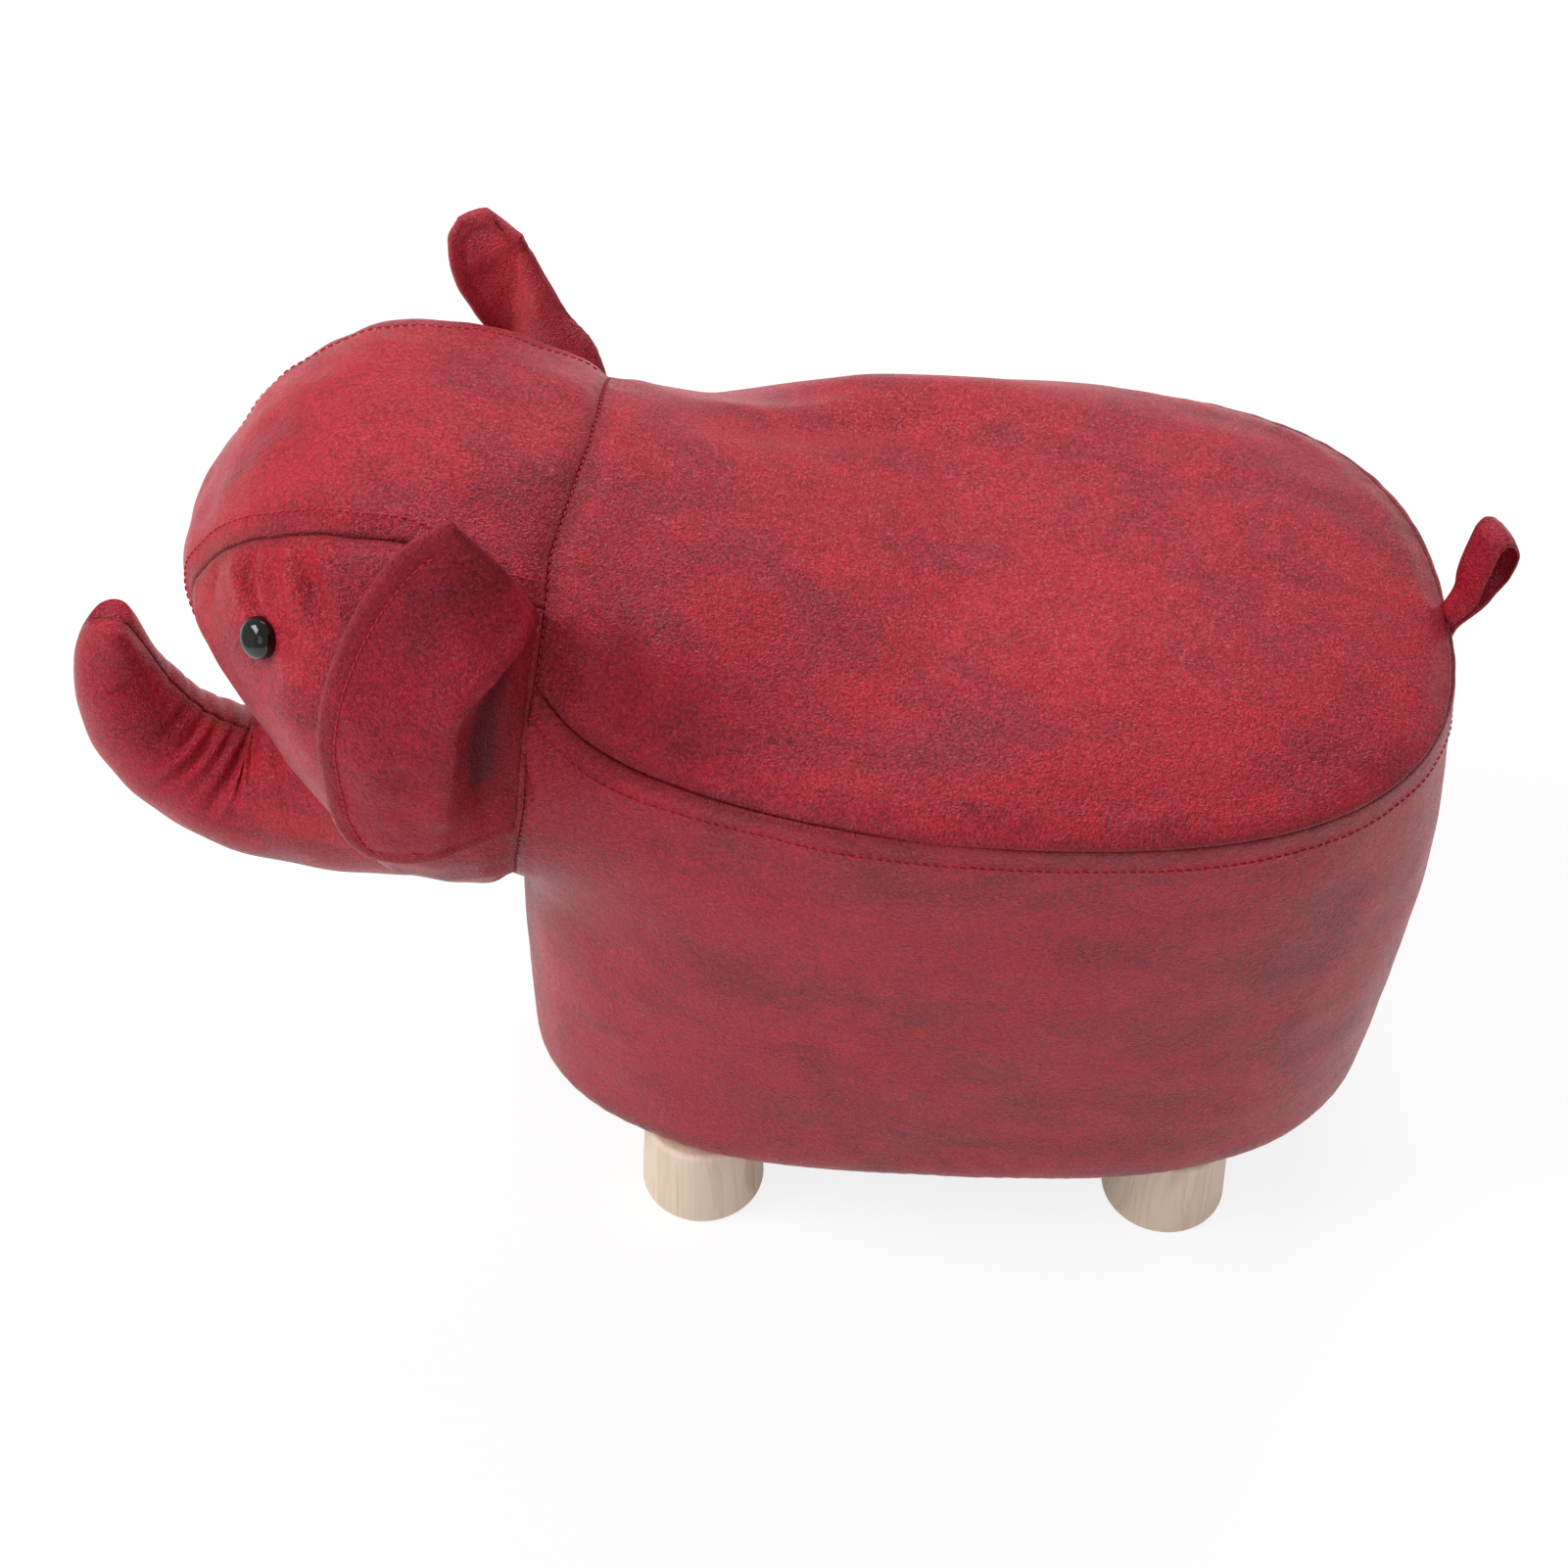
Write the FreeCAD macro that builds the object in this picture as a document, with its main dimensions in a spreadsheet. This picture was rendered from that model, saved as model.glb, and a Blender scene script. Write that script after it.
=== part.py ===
import FreeCAD, Part
import math
import os
import Sketcher
from FreeCAD import Placement, Rotation, Vector

# Upholstered elephant footstool, head towards -X, standing on four turned legs.
# Origin on the floor under the middle of the bounding box, +Z up, millimetres.

DRIVING_SIZES = [
    # Seat and body, as plan reaches from the widest station of the oval
    ("seat_station", 109.5), ("seat_front_reach", 205.0), ("seat_rear_reach", 176.0),
    ("seat_half_width", 145.0), ("seam_height", 305.0), ("crown_rise", 27.0),
    ("floor_front_reach", 223.0), ("floor_rear_reach", 180.0), ("floor_half_width", 127.0),
    ("belly_height", 50.0), ("belly_round", 18.0), ("front_bulge", 4.0), ("rear_bulge", 8.0),
    # Covers, foams and carcass
    ("cover_thick", 1.4), ("dust_cover_thick", 0.8), ("hem_width", 24.0), ("dust_overlap", 16.0),
    ("side_foam_thick", 14.0), ("seat_foam_depth", 24.0), ("pad_joint_gap", 0.6),
    ("seat_board_thick", 12.0), ("base_board_thick", 15.0), ("wall_board_thick", 3.0),
    ("hoop_lift", 1.0),
    ("post_side", 30.0), ("post_front_station", 32.0), ("post_front_side", 78.0),
    ("post_rear_station", 152.0), ("post_rear_side", 88.0), ("post_nose_station", -58.0),
    ("post_tail_station", 246.0),
    # Legs and their fixings
    ("leg_front_station", -28.5), ("leg_rear_station", 194.5), ("leg_side_station", 84.0),
    ("leg_floor_radius", 29.5), ("leg_top_radius", 26.5), ("leg_edge_round", 3.0),
    ("bolt_radius", 4.0), ("bolt_depth", 32.0), ("bolt_rise", 17.0), ("bore_gap", 0.1),
    ("bolt_point", 2.0), ("nut_barrel_radius", 5.2), ("nut_barrel_length", 10.0),
    ("nut_flange_radius", 9.0), ("nut_flange_thick", 1.2),
    # Screws and staples
    ("screw_radius", 2.0), ("screw_length", 32.0), ("screw_head_radius", 4.0),
    ("screw_head_depth", 2.6), ("screw_pitch", 12.0), ("staple_crown", 10.0),
    ("staple_wire", 0.8), ("staple_leg", 7.0), ("cover_staple_inset", 18.0),
    ("dust_staple_inset", 11.0),
    # Neck ring and head
    ("neck_station", -93.4), ("neck_height", 283.9), ("neck_half_width", 110.1),
    ("neck_half_height", 99.6), ("neck_wrap", 12.0), ("neck_root_reach", 190.0),
    ("neck_root_drop", 43.9), ("neck_root_half_width", 112.0), ("neck_root_half_height", 86.0),
    ("shoulder_swell", 9.0),
    ("head_front_station", -225.8), ("head_front_height", 296.8), ("head_sag", 4.7),
    ("shoulder_station", -30.0), ("shoulder_reach", 55.0), ("shoulder_rise", 37.0),
    # Trunk and eyes
    ("trunk_root_radius", 62.0),
    ("eye_radius", 8.5), ("eye_depth", 5.5), ("eye_sink", 1.0), ("eye_station", -190.7),
    ("eye_side", 86.8), ("eye_height", 351.9), ("eye_shank_radius", 2.5),
    ("eye_shank_length", 13.0), ("washer_radius", 8.0), ("washer_thick", 1.6),
    ("washer_depth", 5.0),
    # Ears
    ("ear_skin_thick", 1.4), ("ear_pad_thick", 3.2), ("ear_rim", 4.5), ("ear_bead_radius", 3.2),
    ("ear_bead_low", 284.0), ("ear_bead_high", 348.0), ("ear_hinge_station", -78.0),
    ("ear_hinge_side", 113.0), ("ear_hinge_height", 316.0), ("ear_hinge_slope", 14.0),
    # Tail loop
    ("tail_station", 290.0), ("tail_side", 9.0), ("tail_base_height", 307.4),
    ("tail_width", 18.0), ("tail_strap_thick", 2.4), ("tail_reach", 16.5), ("tail_height", 41.0),
    ("tail_yaw", 25.0),
    # One overrun serves every cut
    ("overrun", 40.0),
]

FRONT_ROUND_SHARES = (2.85, 2.5)
REAR_ROUND = 2.6
HEAD_ROUND = 2.2
NECK_TILT = 15.0
HEAD_FRONT_TILT = -30.0
SIDES = (("left", -1), ("right", 1))
ENDS = (("front", "leg_front_station"), ("rear", "leg_rear_station"))
COVER_STAPLE_COUNT = 28
DUST_STAPLE_COUNT = 20

doc = FreeCAD.newDocument("elephant_footstool")
sheet = doc.addObject("Spreadsheet::Sheet", "Sizes")
for row, (alias, value) in enumerate(DRIVING_SIZES, start=1):
    sheet.set("A%d" % row, alias)
    sheet.set("B%d" % row, str(value))
    sheet.setAlias("B%d" % row, alias)
doc.recompute()


def size(alias):
    return float(sheet.get(alias))


def cell(alias):
    return "Sizes.%s" % alias


nodes = []


def keep(obj, name):
    obj.Label = name
    nodes.append(obj)
    return obj


def solid_node(name, shape):
    solids = shape.Solids
    obj = doc.addObject("Part::Feature", name)
    obj.Shape = solids[0] if len(solids) == 1 else Part.makeCompound(solids)
    obj.Placement = shape.Placement if len(solids) == 1 else Placement()
    return keep(obj, name)


# Outlines shared by the soft forms

def power_point(share, half_x, half_y, roundness):
    """Point of a rounded oval at a share of a full turn, measured from its +X end."""
    angle = 2 * math.pi * share
    c, s = math.cos(angle), math.sin(angle)
    x = math.copysign(abs(c) ** (2 / roundness), c) * half_x
    y = math.copysign(abs(s) ** (2 / roundness), s) * half_y
    return x, y


def arc_wire(points):
    """Closed wire of three-point arcs through an even number of points."""
    edges = []
    for i in range(0, len(points), 2):
        end = points[(i + 2) % len(points)]
        edges.append(Part.Arc(points[i], points[i + 1], end).toShape())
    return Part.Wire(edges)


RING_COUNT = 16


def oval_wire(front, rear, half_width, z, front_round):
    """Plan oval whose front and rear differ in reach and in roundness."""
    points = []
    for i in range(RING_COUNT):
        share = i / RING_COUNT
        behind = share <= 1 / 4 or share >= 3 / 4
        reach = rear if behind else front
        roundness = REAR_ROUND if behind else front_round
        x, y = power_point(share, reach, half_width, roundness)
        points.append(Vector(size("seat_station") + x, y, z))
    return arc_wire(points)


def loft(wires):
    return Part.makeLoft(wires, True, True, False)


def slab(x_low, x_high, y_low, y_high, z_low, z_high):
    return Part.makeBox(x_high - x_low, y_high - y_low, z_high - z_low, Vector(x_low, y_low, z_low))


def between(z_low, z_high):
    """Slab over the whole plan between two heights."""
    reach = size("seat_front_reach") * 3
    return slab(-reach, reach, -reach, reach, z_low, z_high)


def half_space(side):
    reach = size("seat_front_reach") * 3
    low, high = (-reach, 0) if side < 0 else (0, reach)
    return slab(-reach, reach, low, high, -reach, reach)


# Body form: wall from the rounded belly to the seat seam, and the crowned seat top

BELLY_TURNS = (0.0, 27.0, 54.0)
BELLY_EASE_SHARE = 0.02
WALL_SHARES = (-0.018, 0.016, 0.062, 0.125, 0.215, 0.34, 0.5, 0.67, 0.84, 1.0)
CROWN_REACH_SHARES = (1.0, 0.985, 0.96, 0.92, 0.86, 0.77, 0.64, 0.47, 0.28)
CROWN_POWER = 4.2


def mix(low, high, share):
    return low + (high - low) * share


def wall_height(share):
    return mix(size("belly_height") + size("belly_round"), size("seam_height"), share)


def wall_section(share, inset):
    swell = math.sin(math.pi * min(max(share, 0), 1))
    front = mix(size("floor_front_reach"), size("seat_front_reach"), share)
    rear = mix(size("floor_rear_reach"), size("seat_rear_reach"), share)
    half = mix(size("floor_half_width"), size("seat_half_width"), share)
    front = front + size("front_bulge") * swell - inset
    rear = rear + size("rear_bulge") * swell - inset
    roundness = mix(FRONT_ROUND_SHARES[0], FRONT_ROUND_SHARES[1], share)
    return front, rear, half - inset, roundness


def wall_form(inset, floor_inset):
    """Body below the seat seam with its belly rounding, drawn in by inset."""
    wires = []
    radius = size("belly_round")
    low = size("belly_height") + floor_inset
    for turn in BELLY_TURNS:
        angle = math.radians(turn)
        drawn_in = (radius - inset) * (1 - math.sin(angle))
        z = low + (radius - floor_inset) * (1 - math.cos(angle))
        front, rear, half, roundness = wall_section(0, inset + drawn_in)
        wires.append(oval_wire(front, rear, half, z, roundness))
    for index, share in enumerate(WALL_SHARES):
        drawn_in = (radius - inset) * BELLY_EASE_SHARE if index == 0 else 0
        front, rear, half, roundness = wall_section(max(share, 0), inset + drawn_in)
        wires.append(oval_wire(front, rear, half, wall_height(share), roundness))
    return loft(wires)


def core_form(inset):
    """Straight-sided core of the body for boards and posts, drawn in by inset."""
    wires = []
    front, rear, half, roundness = wall_section(0, inset)
    for share in CORE_LOW_SHARES:
        wires.append(oval_wire(front, rear, half, wall_height(share), roundness))
    for share in CORE_SHARES:
        front, rear, half, roundness = wall_section(share, inset)
        wires.append(oval_wire(front, rear, half, wall_height(share), roundness))
    return loft(wires)


CORE_LOW_SHARES = (-0.12, -0.05)
CORE_SHARES = (0.016, 0.09, 0.18, 0.31, 0.48, 0.66, 0.83, 1.0)


def crown_form(inset):
    """Crowned seat above the seam, its skin lowered by inset."""
    wires = []
    rise = size("crown_rise") - inset
    for share in CROWN_REACH_SHARES:
        z = size("seam_height") + rise * (1 - share ** CROWN_POWER)
        front, rear, half, roundness = wall_section(1, inset)
        wires.append(oval_wire(front * share, rear * share, half * share, z, roundness))
    return loft(wires)


# Head form: rounded sections on a spine from inside the shoulders to the forehead

HEAD_STEP_SHARES = (0.0, 0.12, 0.25, 0.40, 0.55, 0.68, 0.79, 0.88, 0.94, 0.98, 0.997)
HEAD_WIDTH_SHARES = (1.0, 1.074, 1.128, 1.13, 1.046, 0.90, 0.729, 0.576, 0.42, 0.248, 0.10)
HEAD_HEIGHT_SHARES = (1.0, 1.063, 1.106, 1.097, 1.009, 0.867, 0.702, 0.551, 0.40, 0.236, 0.09)
HEAD_LOW_SHARES = (1.0, 0.93, 0.87, 0.88, 0.93, 0.98, 1.0, 1.0, 1.0, 1.0, 1.0)
HEAD_WRAP_SHARES = (1.0, 0.66, 0.28, 0.0, 0.0, 0.0, 0.0, 0.0, 0.0, 0.0, 0.0)
NECK_STEP_SHARES = (1.0, 0.78, 0.58, 0.4, 0.25, 0.12)
ROOT_ROUND = 2.6


def ring_wire(x, z, half_width, half_height, low_share, tilt, wrap, roundness):
    """Upright rounded section, leaning by tilt, its sides wrapped back by wrap."""
    lean = math.radians(tilt)
    points = []
    for i in range(RING_COUNT):
        across, up = power_point(i / RING_COUNT, half_width, half_height, roundness)
        if up < 0:
            up = up * low_share
        back = wrap * (across / half_width) ** 2
        points.append(Vector(x + up * math.sin(lean) + back, across, z + up * math.cos(lean)))
    edges = []
    for i in range(0, RING_COUNT, 2):
        end = points[(i + 2) % RING_COUNT]
        edges.append(Part.Arc(points[i], points[i + 1], end).toShape())
    return Part.Wire(edges)


def head_wire(index, inset):
    share = HEAD_STEP_SHARES[index]
    x = mix(size("neck_station"), size("head_front_station"), share)
    z = mix(size("neck_height"), size("head_front_height"), share)
    z = z + size("head_sag") * math.sin(math.pi * share)
    half_width = size("neck_half_width") * HEAD_WIDTH_SHARES[index] - inset
    half_height = size("neck_half_height") * HEAD_HEIGHT_SHARES[index] - inset
    tilt = mix(NECK_TILT, HEAD_FRONT_TILT, share)
    wrap = size("neck_wrap") * HEAD_WRAP_SHARES[index]
    low = HEAD_LOW_SHARES[index]
    return ring_wire(x + inset * share, z, half_width, half_height, low, tilt, wrap, HEAD_ROUND)


def neck_wire(share, inset):
    x = size("neck_station") + size("neck_root_reach") * share
    z = size("neck_height") - size("neck_root_drop") * share
    half_width = mix(size("neck_half_width"), size("neck_root_half_width"), share)
    half_width = half_width + size("shoulder_swell") * math.sin(math.pi * share)
    half_height = mix(size("neck_half_height"), size("neck_root_half_height"), share)
    tilt = NECK_TILT * (1 - share)
    wrap = size("neck_wrap") * (1 - share)
    roundness = mix(HEAD_ROUND, ROOT_ROUND, share)
    return ring_wire(x, z, half_width - inset, half_height - inset, 1.0, tilt, wrap, roundness)


def head_form(inset):
    wires = [neck_wire(share, inset) for share in NECK_STEP_SHARES]
    wires = wires + [head_wire(index, inset) for index in range(len(HEAD_STEP_SHARES))]
    return loft(wires)


# Trunk form: round sections on a path that leaves the chin, runs forward and curls up.
# Shares of the neck half height give station and height; the last is a share of the root radius.

TRUNK_PATH_SHARES = (
    (-0.44, -0.722, 1.0), (-0.80, -0.883, 0.84), (-1.16, -0.985, 0.68), (-1.443, -1.010, 0.545),
    (-1.636, -0.892, 0.50), (-1.762, -0.775, 0.452), (-1.868, -0.580, 0.412),
    (-1.912, -0.40, 0.365), (-1.918, -0.235, 0.31), (-1.905, -0.10, 0.25), (-1.890, -0.03, 0.15),
)
TRUNK_RING_COUNT = 8


def trunk_point(index):
    station, height, radius = TRUNK_PATH_SHARES[index]
    unit = size("neck_half_height")
    x = size("neck_station") + station * unit
    return Vector(x, 0, size("neck_height") + height * unit), radius * size("trunk_root_radius")


def trunk_wire(index, inset):
    here, radius = trunk_point(index)
    before = trunk_point(max(index - 1, 0))[0]
    after = trunk_point(min(index + 1, len(TRUNK_PATH_SHARES) - 1))[0]
    along = after - before
    along = along.normalize()
    across = Vector(0, 1, 0)
    up = along.cross(across)
    reach = radius - inset
    if index == len(TRUNK_PATH_SHARES) - 1:
        here = here - along * inset
    points = []
    for i in range(TRUNK_RING_COUNT):
        angle = 2 * math.pi * i / TRUNK_RING_COUNT
        points.append(here + across * (reach * math.cos(angle)) + up * (reach * math.sin(angle)))
    return arc_wire(points)


def trunk_form(inset):
    return loft([trunk_wire(i, inset) for i in range(len(TRUNK_PATH_SHARES))])


thick = size("cover_thick")
core_inset = thick + size("side_foam_thick")
board_inset = core_inset + size("wall_board_thick")
wall_outer = wall_form(0, 0)
wall_inner = wall_form(thick, thick)
crown_outer = crown_form(0)
crown_inner = crown_form(thick)
core_outer = core_form(core_inset)
core_inner = core_form(board_inset)
head_outer = head_form(0)
head_inner = head_form(thick)
trunk_outer = trunk_form(0)
trunk_inner = trunk_form(thick)
seam = size("seam_height")


def behind_neck(shift):
    """Everything behind the neck seam, whose sides wrap back round the body."""
    low = size("neck_height") - size("neck_half_height") * 2
    high = size("neck_height") + size("neck_half_height") * 2
    lean = math.tan(math.radians(NECK_TILT))
    side = size("neck_half_width") * 2
    base = size("neck_station") + shift + (low - size("neck_height")) * lean
    sweep = size("neck_wrap") * (side / size("neck_half_width")) ** 2
    back = base + size("neck_root_reach") * 4
    left = Vector(base + sweep, -side, low)
    right = Vector(base + sweep, side, low)
    front = Part.Arc(left, Vector(base, 0, low), right).toShape()
    right_back = Vector(back, side, low)
    left_back = Vector(back, -side, low)
    lines = [Part.makeLine(right, right_back), Part.makeLine(right_back, left_back)]
    lines.append(Part.makeLine(left_back, left))
    face = Part.Face(Part.Wire([front] + lines))
    return face.extrude(Vector((high - low) * lean, 0, high - low))


neck_back = behind_neck(0)
head_shell = head_outer.cut(head_inner)
sleeve = head_shell.common(neck_back).cut(wall_outer).cut(crown_outer)


def shoulder_zone():
    """Side-on area below the seam line, which climbs from the seat to the neck."""
    x_far = size("seat_station")
    x_shoulder = size("shoulder_station")
    x_neck = x_shoulder - size("shoulder_reach")
    x_front = x_neck - size("shoulder_reach")
    side = -size("seat_half_width") * 2
    top = seam + size("shoulder_rise")
    spots = [(x_far, 0), (x_far, seam), (x_shoulder, seam), (x_neck, top), (x_front, top), (x_front, 0)]
    corners = [Vector(x, side, z) for x, z in spots]
    face = Part.Face(Part.makePolygon(corners + corners[:1]))
    return face.extrude(Vector(0, -2 * side, 0))


low_zone = shoulder_zone()
side_sleeve = sleeve.common(low_zone)
top_sleeve = sleeve.cut(low_zone)


def flat_oval(inset, z_low, z_high):
    """Plan slab of the flat belly outline, drawn in by inset."""
    front, rear, half, roundness = wall_section(0, size("belly_round") + inset)
    face = Part.Face(oval_wire(front, rear, half, z_low, roundness))
    return face.extrude(Vector(0, 0, z_high - z_low))


belly = size("belly_height")
hem_opening = flat_oval(size("hem_width"), belly - size("overrun"), belly + size("overrun"))
hem_opening = hem_opening.common(between(belly - size("overrun"), belly + thick))
side_shell = wall_outer.cut(wall_inner).cut(hem_opening)
side_cover_form = side_shell.fuse(side_sleeve)
seat_shell = crown_outer.cut(crown_inner)
seat_cover_form = seat_shell.fuse(top_sleeve)


# Turned and plain pieces as bodies with sketches

def origin_plane(body, role):
    for feature in body.Origin.OriginFeatures:
        if feature.Role == role:
            return feature
    raise ValueError(role)


def profile_body(name, corners):
    """Revolved body whose outline corners are pairs of expressions, None meaning on the axis."""
    body = doc.addObject("PartDesign::Body", name)
    sketch = body.newObject("Sketcher::SketchObject", name + "_outline")
    sketch.AttachmentSupport = (origin_plane(body, "XZ_Plane"), [""])
    sketch.MapMode = "FlatFace"
    count = len(corners)
    places = []
    for across, up in corners:
        places.append(Vector(0 if across is None else sized(across), sized(up), 0))
    for i in range(count):
        sketch.addGeometry(Part.LineSegment(places[i], places[(i + 1) % count]), False)
    for i in range(count):
        sketch.addConstraint(Sketcher.Constraint("Coincident", i, 2, (i + 1) % count, 1))
    for i, (across, up) in enumerate(corners):
        if across is None:
            sketch.addConstraint(Sketcher.Constraint("PointOnObject", i, 1, -2))
        else:
            bind(sketch, "DistanceX", i, places[i].x, across)
        if up == "0":
            sketch.addConstraint(Sketcher.Constraint("PointOnObject", i, 1, -1))
        else:
            bind(sketch, "DistanceY", i, places[i].y, up)
    turn = body.newObject("PartDesign::Revolution", name + "_turned")
    turn.Profile = (sketch, [""])
    turn.ReferenceAxis = (sketch, ["V_Axis"])
    turn.Angle = 360
    sketch.Visibility = False
    return body, turn


def bind(sketch, kind, index, value, words):
    at = sketch.addConstraint(Sketcher.Constraint(kind, -1, 1, index, 1, value))
    sketch.setExpression("Constraints[%d]" % at, words)


def sized(words):
    """Value of a sum of sheet cells written as an expression."""
    total = 0.0
    sign = 1
    for word in words.replace("Sizes.", "").split():
        if word in "+-":
            sign = -1 if word == "-" else 1
        elif word == "0":
            total = total + 0
        else:
            total = total + sign * size(word)
    return total


leg_top = "%s - %s" % (cell("belly_height"), cell("dust_cover_thick"))
bore = "%s + %s" % (cell("bolt_radius"), cell("bore_gap"))
bolt_low = "%s - %s" % (leg_top, cell("bolt_depth"))
bolt_high = "%s + %s" % (leg_top, cell("bolt_rise"))
nut_high = "%s + %s + %s" % (cell("belly_height"), cell("cover_thick"), cell("base_board_thick"))
nut_low = "%s - %s" % (nut_high, cell("nut_barrel_length"))
nut_top = "%s + %s" % (nut_high, cell("nut_flange_thick"))

legs, bolts, nuts = [], [], []
for end, station in ENDS:
    for side_name, side in SIDES:
        place = "%s_%s" % (end, side_name)
        side_words = "%s * %d" % (cell("leg_side_station"), side)
        leg, turned = profile_body("leg_" + place, [
            (None, "0"), (cell("leg_floor_radius"), "0"), (cell("leg_top_radius"), leg_top),
            (bore, leg_top), (bore, bolt_low), (None, bolt_low)])
        bolt, _ = profile_body("hanger_bolt_" + place, [
            (None, bolt_low + " + " + cell("bore_gap")),
            ("%s - %s" % (cell("bolt_radius"), cell("bolt_point")), bolt_low + " + " + cell("bore_gap")),
            (cell("bolt_radius"), bolt_low + " + " + cell("bolt_point")),
            (cell("bolt_radius"), bolt_high), (None, bolt_high)])
        nut, _ = profile_body("tee_nut_" + place, [
            (bore, nut_low), (cell("nut_barrel_radius"), nut_low),
            (cell("nut_barrel_radius"), nut_high), (cell("nut_flange_radius"), nut_high),
            (cell("nut_flange_radius"), nut_top), (bore, nut_top)])
        for body, group in ((leg, legs), (bolt, bolts), (nut, nuts)):
            body.setExpression("Placement.Base.x", cell(station))
            body.setExpression("Placement.Base.y", side_words)
            group.append(body)
doc.recompute()


def outer_circles(feature, heights):
    """Names of the largest circular edges at each height."""
    names = []
    for height in heights:
        best = None
        for number, edge in enumerate(feature.Shape.Edges, start=1):
            box = edge.BoundBox
            if box.ZLength > size("bore_gap") or abs(box.ZMin - height) > size("bore_gap"):
                continue
            if best is None or box.DiagonalLength > best[0]:
                best = (box.DiagonalLength, "Edge%d" % number)
        names.append(best[1])
    return names


for leg in legs:
    turned = leg.Tip
    softened = leg.newObject("PartDesign::Fillet", leg.Name + "_softened")
    softened.Base = (turned, outer_circles(turned, (0, sized(leg_top))))
    softened.setExpression("Radius", cell("leg_edge_round"))
doc.recompute()
for body in legs + bolts + nuts:
    keep(body, body.Name)


# Boards, hoop and posts

board_low = belly + thick
board_high = board_low + size("base_board_thick")
seat_board_high = seam - size("seat_foam_depth")
seat_board_low = seat_board_high - size("seat_board_thick")


def cylinder(x, y, radius, z_low, z_high):
    return Part.makeCylinder(radius, z_high - z_low, Vector(x, y, z_low))


leg_spots = [(size(station), size("leg_side_station") * side) for _, station in ENDS for _, side in SIDES]
clear_bore = size("bolt_radius") + size("bore_gap") * 2
bolt_holes = [cylinder(x, y, clear_bore, belly - size("overrun"), board_high) for x, y in leg_spots]
nut_holes = []
for x, y in leg_spots:
    low = board_high - size("nut_barrel_length")
    nut_holes.append(cylinder(x, y, size("nut_barrel_radius"), low, board_high))

post_spots = [("nose", size("post_nose_station"), 0), ("tail", size("post_tail_station"), 0)]
for side_name, side in SIDES:
    post_spots.append(("front_" + side_name, size("post_front_station"), side * size("post_front_side")))
    post_spots.append(("rear_" + side_name, size("post_rear_station"), side * size("post_rear_side")))


def screw(x, y, z_head, up):
    """Countersunk screw whose head lies flush at z_head, pointing up or down."""
    direction = Vector(0, 0, up)
    start = Vector(x, y, z_head)
    head = Part.makeCone(size("screw_head_radius"), size("screw_radius"), size("screw_head_depth"), start, direction)
    shaft = Part.makeCylinder(size("screw_radius"), size("screw_length"), start, direction)
    return head.fuse(shaft).removeSplitter().Solids[0]


half_post = size("post_side") / 2
low_screws, high_screws = [], []
for _, x, y in post_spots:
    for shift in (-size("screw_pitch") / 2, size("screw_pitch") / 2):
        low_screws.append(screw(x + shift, y, board_low, 1))
        high_screws.append(screw(x + shift, y, seat_board_high, -1))

post_height = "%s - %s - %s - %s - %s - %s" % (
    cell("seam_height"), cell("seat_foam_depth"), cell("seat_board_thick"),
    cell("belly_height"), cell("cover_thick"), cell("base_board_thick"))
posts = []
for place, x, y in post_spots:
    raw = doc.addObject("Part::Box", "post_blank_" + place)
    raw.setExpression("Length", cell("post_side"))
    raw.setExpression("Width", cell("post_side"))
    raw.setExpression("Height", post_height)
    raw.Placement = Placement(Vector(x - half_post, y - half_post, board_high), Rotation())
    posts.append((place, raw))
doc.recompute()


def cut_all(shape, tools):
    return shape.cut(tools) if tools else shape


post_nodes = []
for (place, raw), (_, x, y) in zip(posts, post_spots):
    screws = low_screws + high_screws
    near = [s for s in screws if s.CenterOfMass.sub(Vector(x, y, s.CenterOfMass.z)).Length < half_post]
    post_nodes.append(solid_node("post_" + place, cut_all(raw.Shape, near)))
    raw.Visibility = False


# Staples stand round the hem, away from the legs

def staple_spots(inset, count, shift):
    spots = []
    front, rear, half, roundness = wall_section(0, size("belly_round") + inset)
    for i in range(count):
        share = (i + shift) / count
        here = power_spot(share, front, rear, half, roundness)
        ahead = power_spot(share + 1 / (count * 20), front, rear, half, roundness)
        run = ahead - here
        clear = size("leg_floor_radius") + size("staple_crown")
        if min(math.hypot(here.x - x, here.y - y) for x, y in leg_spots) > clear:
            spots.append((here, math.degrees(math.atan2(run.y, run.x))))
    return spots


def power_spot(share, front, rear, half, roundness):
    share = share % 1
    behind = share <= 1 / 4 or share >= 3 / 4
    x, y = power_point(share, rear if behind else front, half, REAR_ROUND if behind else roundness)
    return Vector(size("seat_station") + x, y, 0)


def staple(spot, turn, z_crown):
    """Staple with its crown below z_crown and both legs up."""
    wire = size("staple_wire")
    width = size("staple_crown")
    crown = Part.makeBox(width, wire, wire, Vector(-width / 2, -wire / 2, -wire))
    left = Part.makeBox(wire, wire, size("staple_leg"), Vector(-width / 2, -wire / 2, 0))
    right = Part.makeBox(wire, wire, size("staple_leg"), Vector(width / 2 - wire, -wire / 2, 0))
    shape = crown.fuse([left, right]).removeSplitter().Solids[0]
    shape.Placement = Placement(Vector(spot.x, spot.y, z_crown), Rotation(Vector(0, 0, 1), turn))
    return shape


dust_low = belly - size("dust_cover_thick")
cover_staples = [staple(p, a, belly) for p, a in staple_spots(size("cover_staple_inset"), COVER_STAPLE_COUNT, 0.5)]
dust_staples = [staple(p, a, dust_low) for p, a in staple_spots(size("dust_staple_inset"), DUST_STAPLE_COUNT, 0.25)]
all_staples = cover_staples + dust_staples

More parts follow.
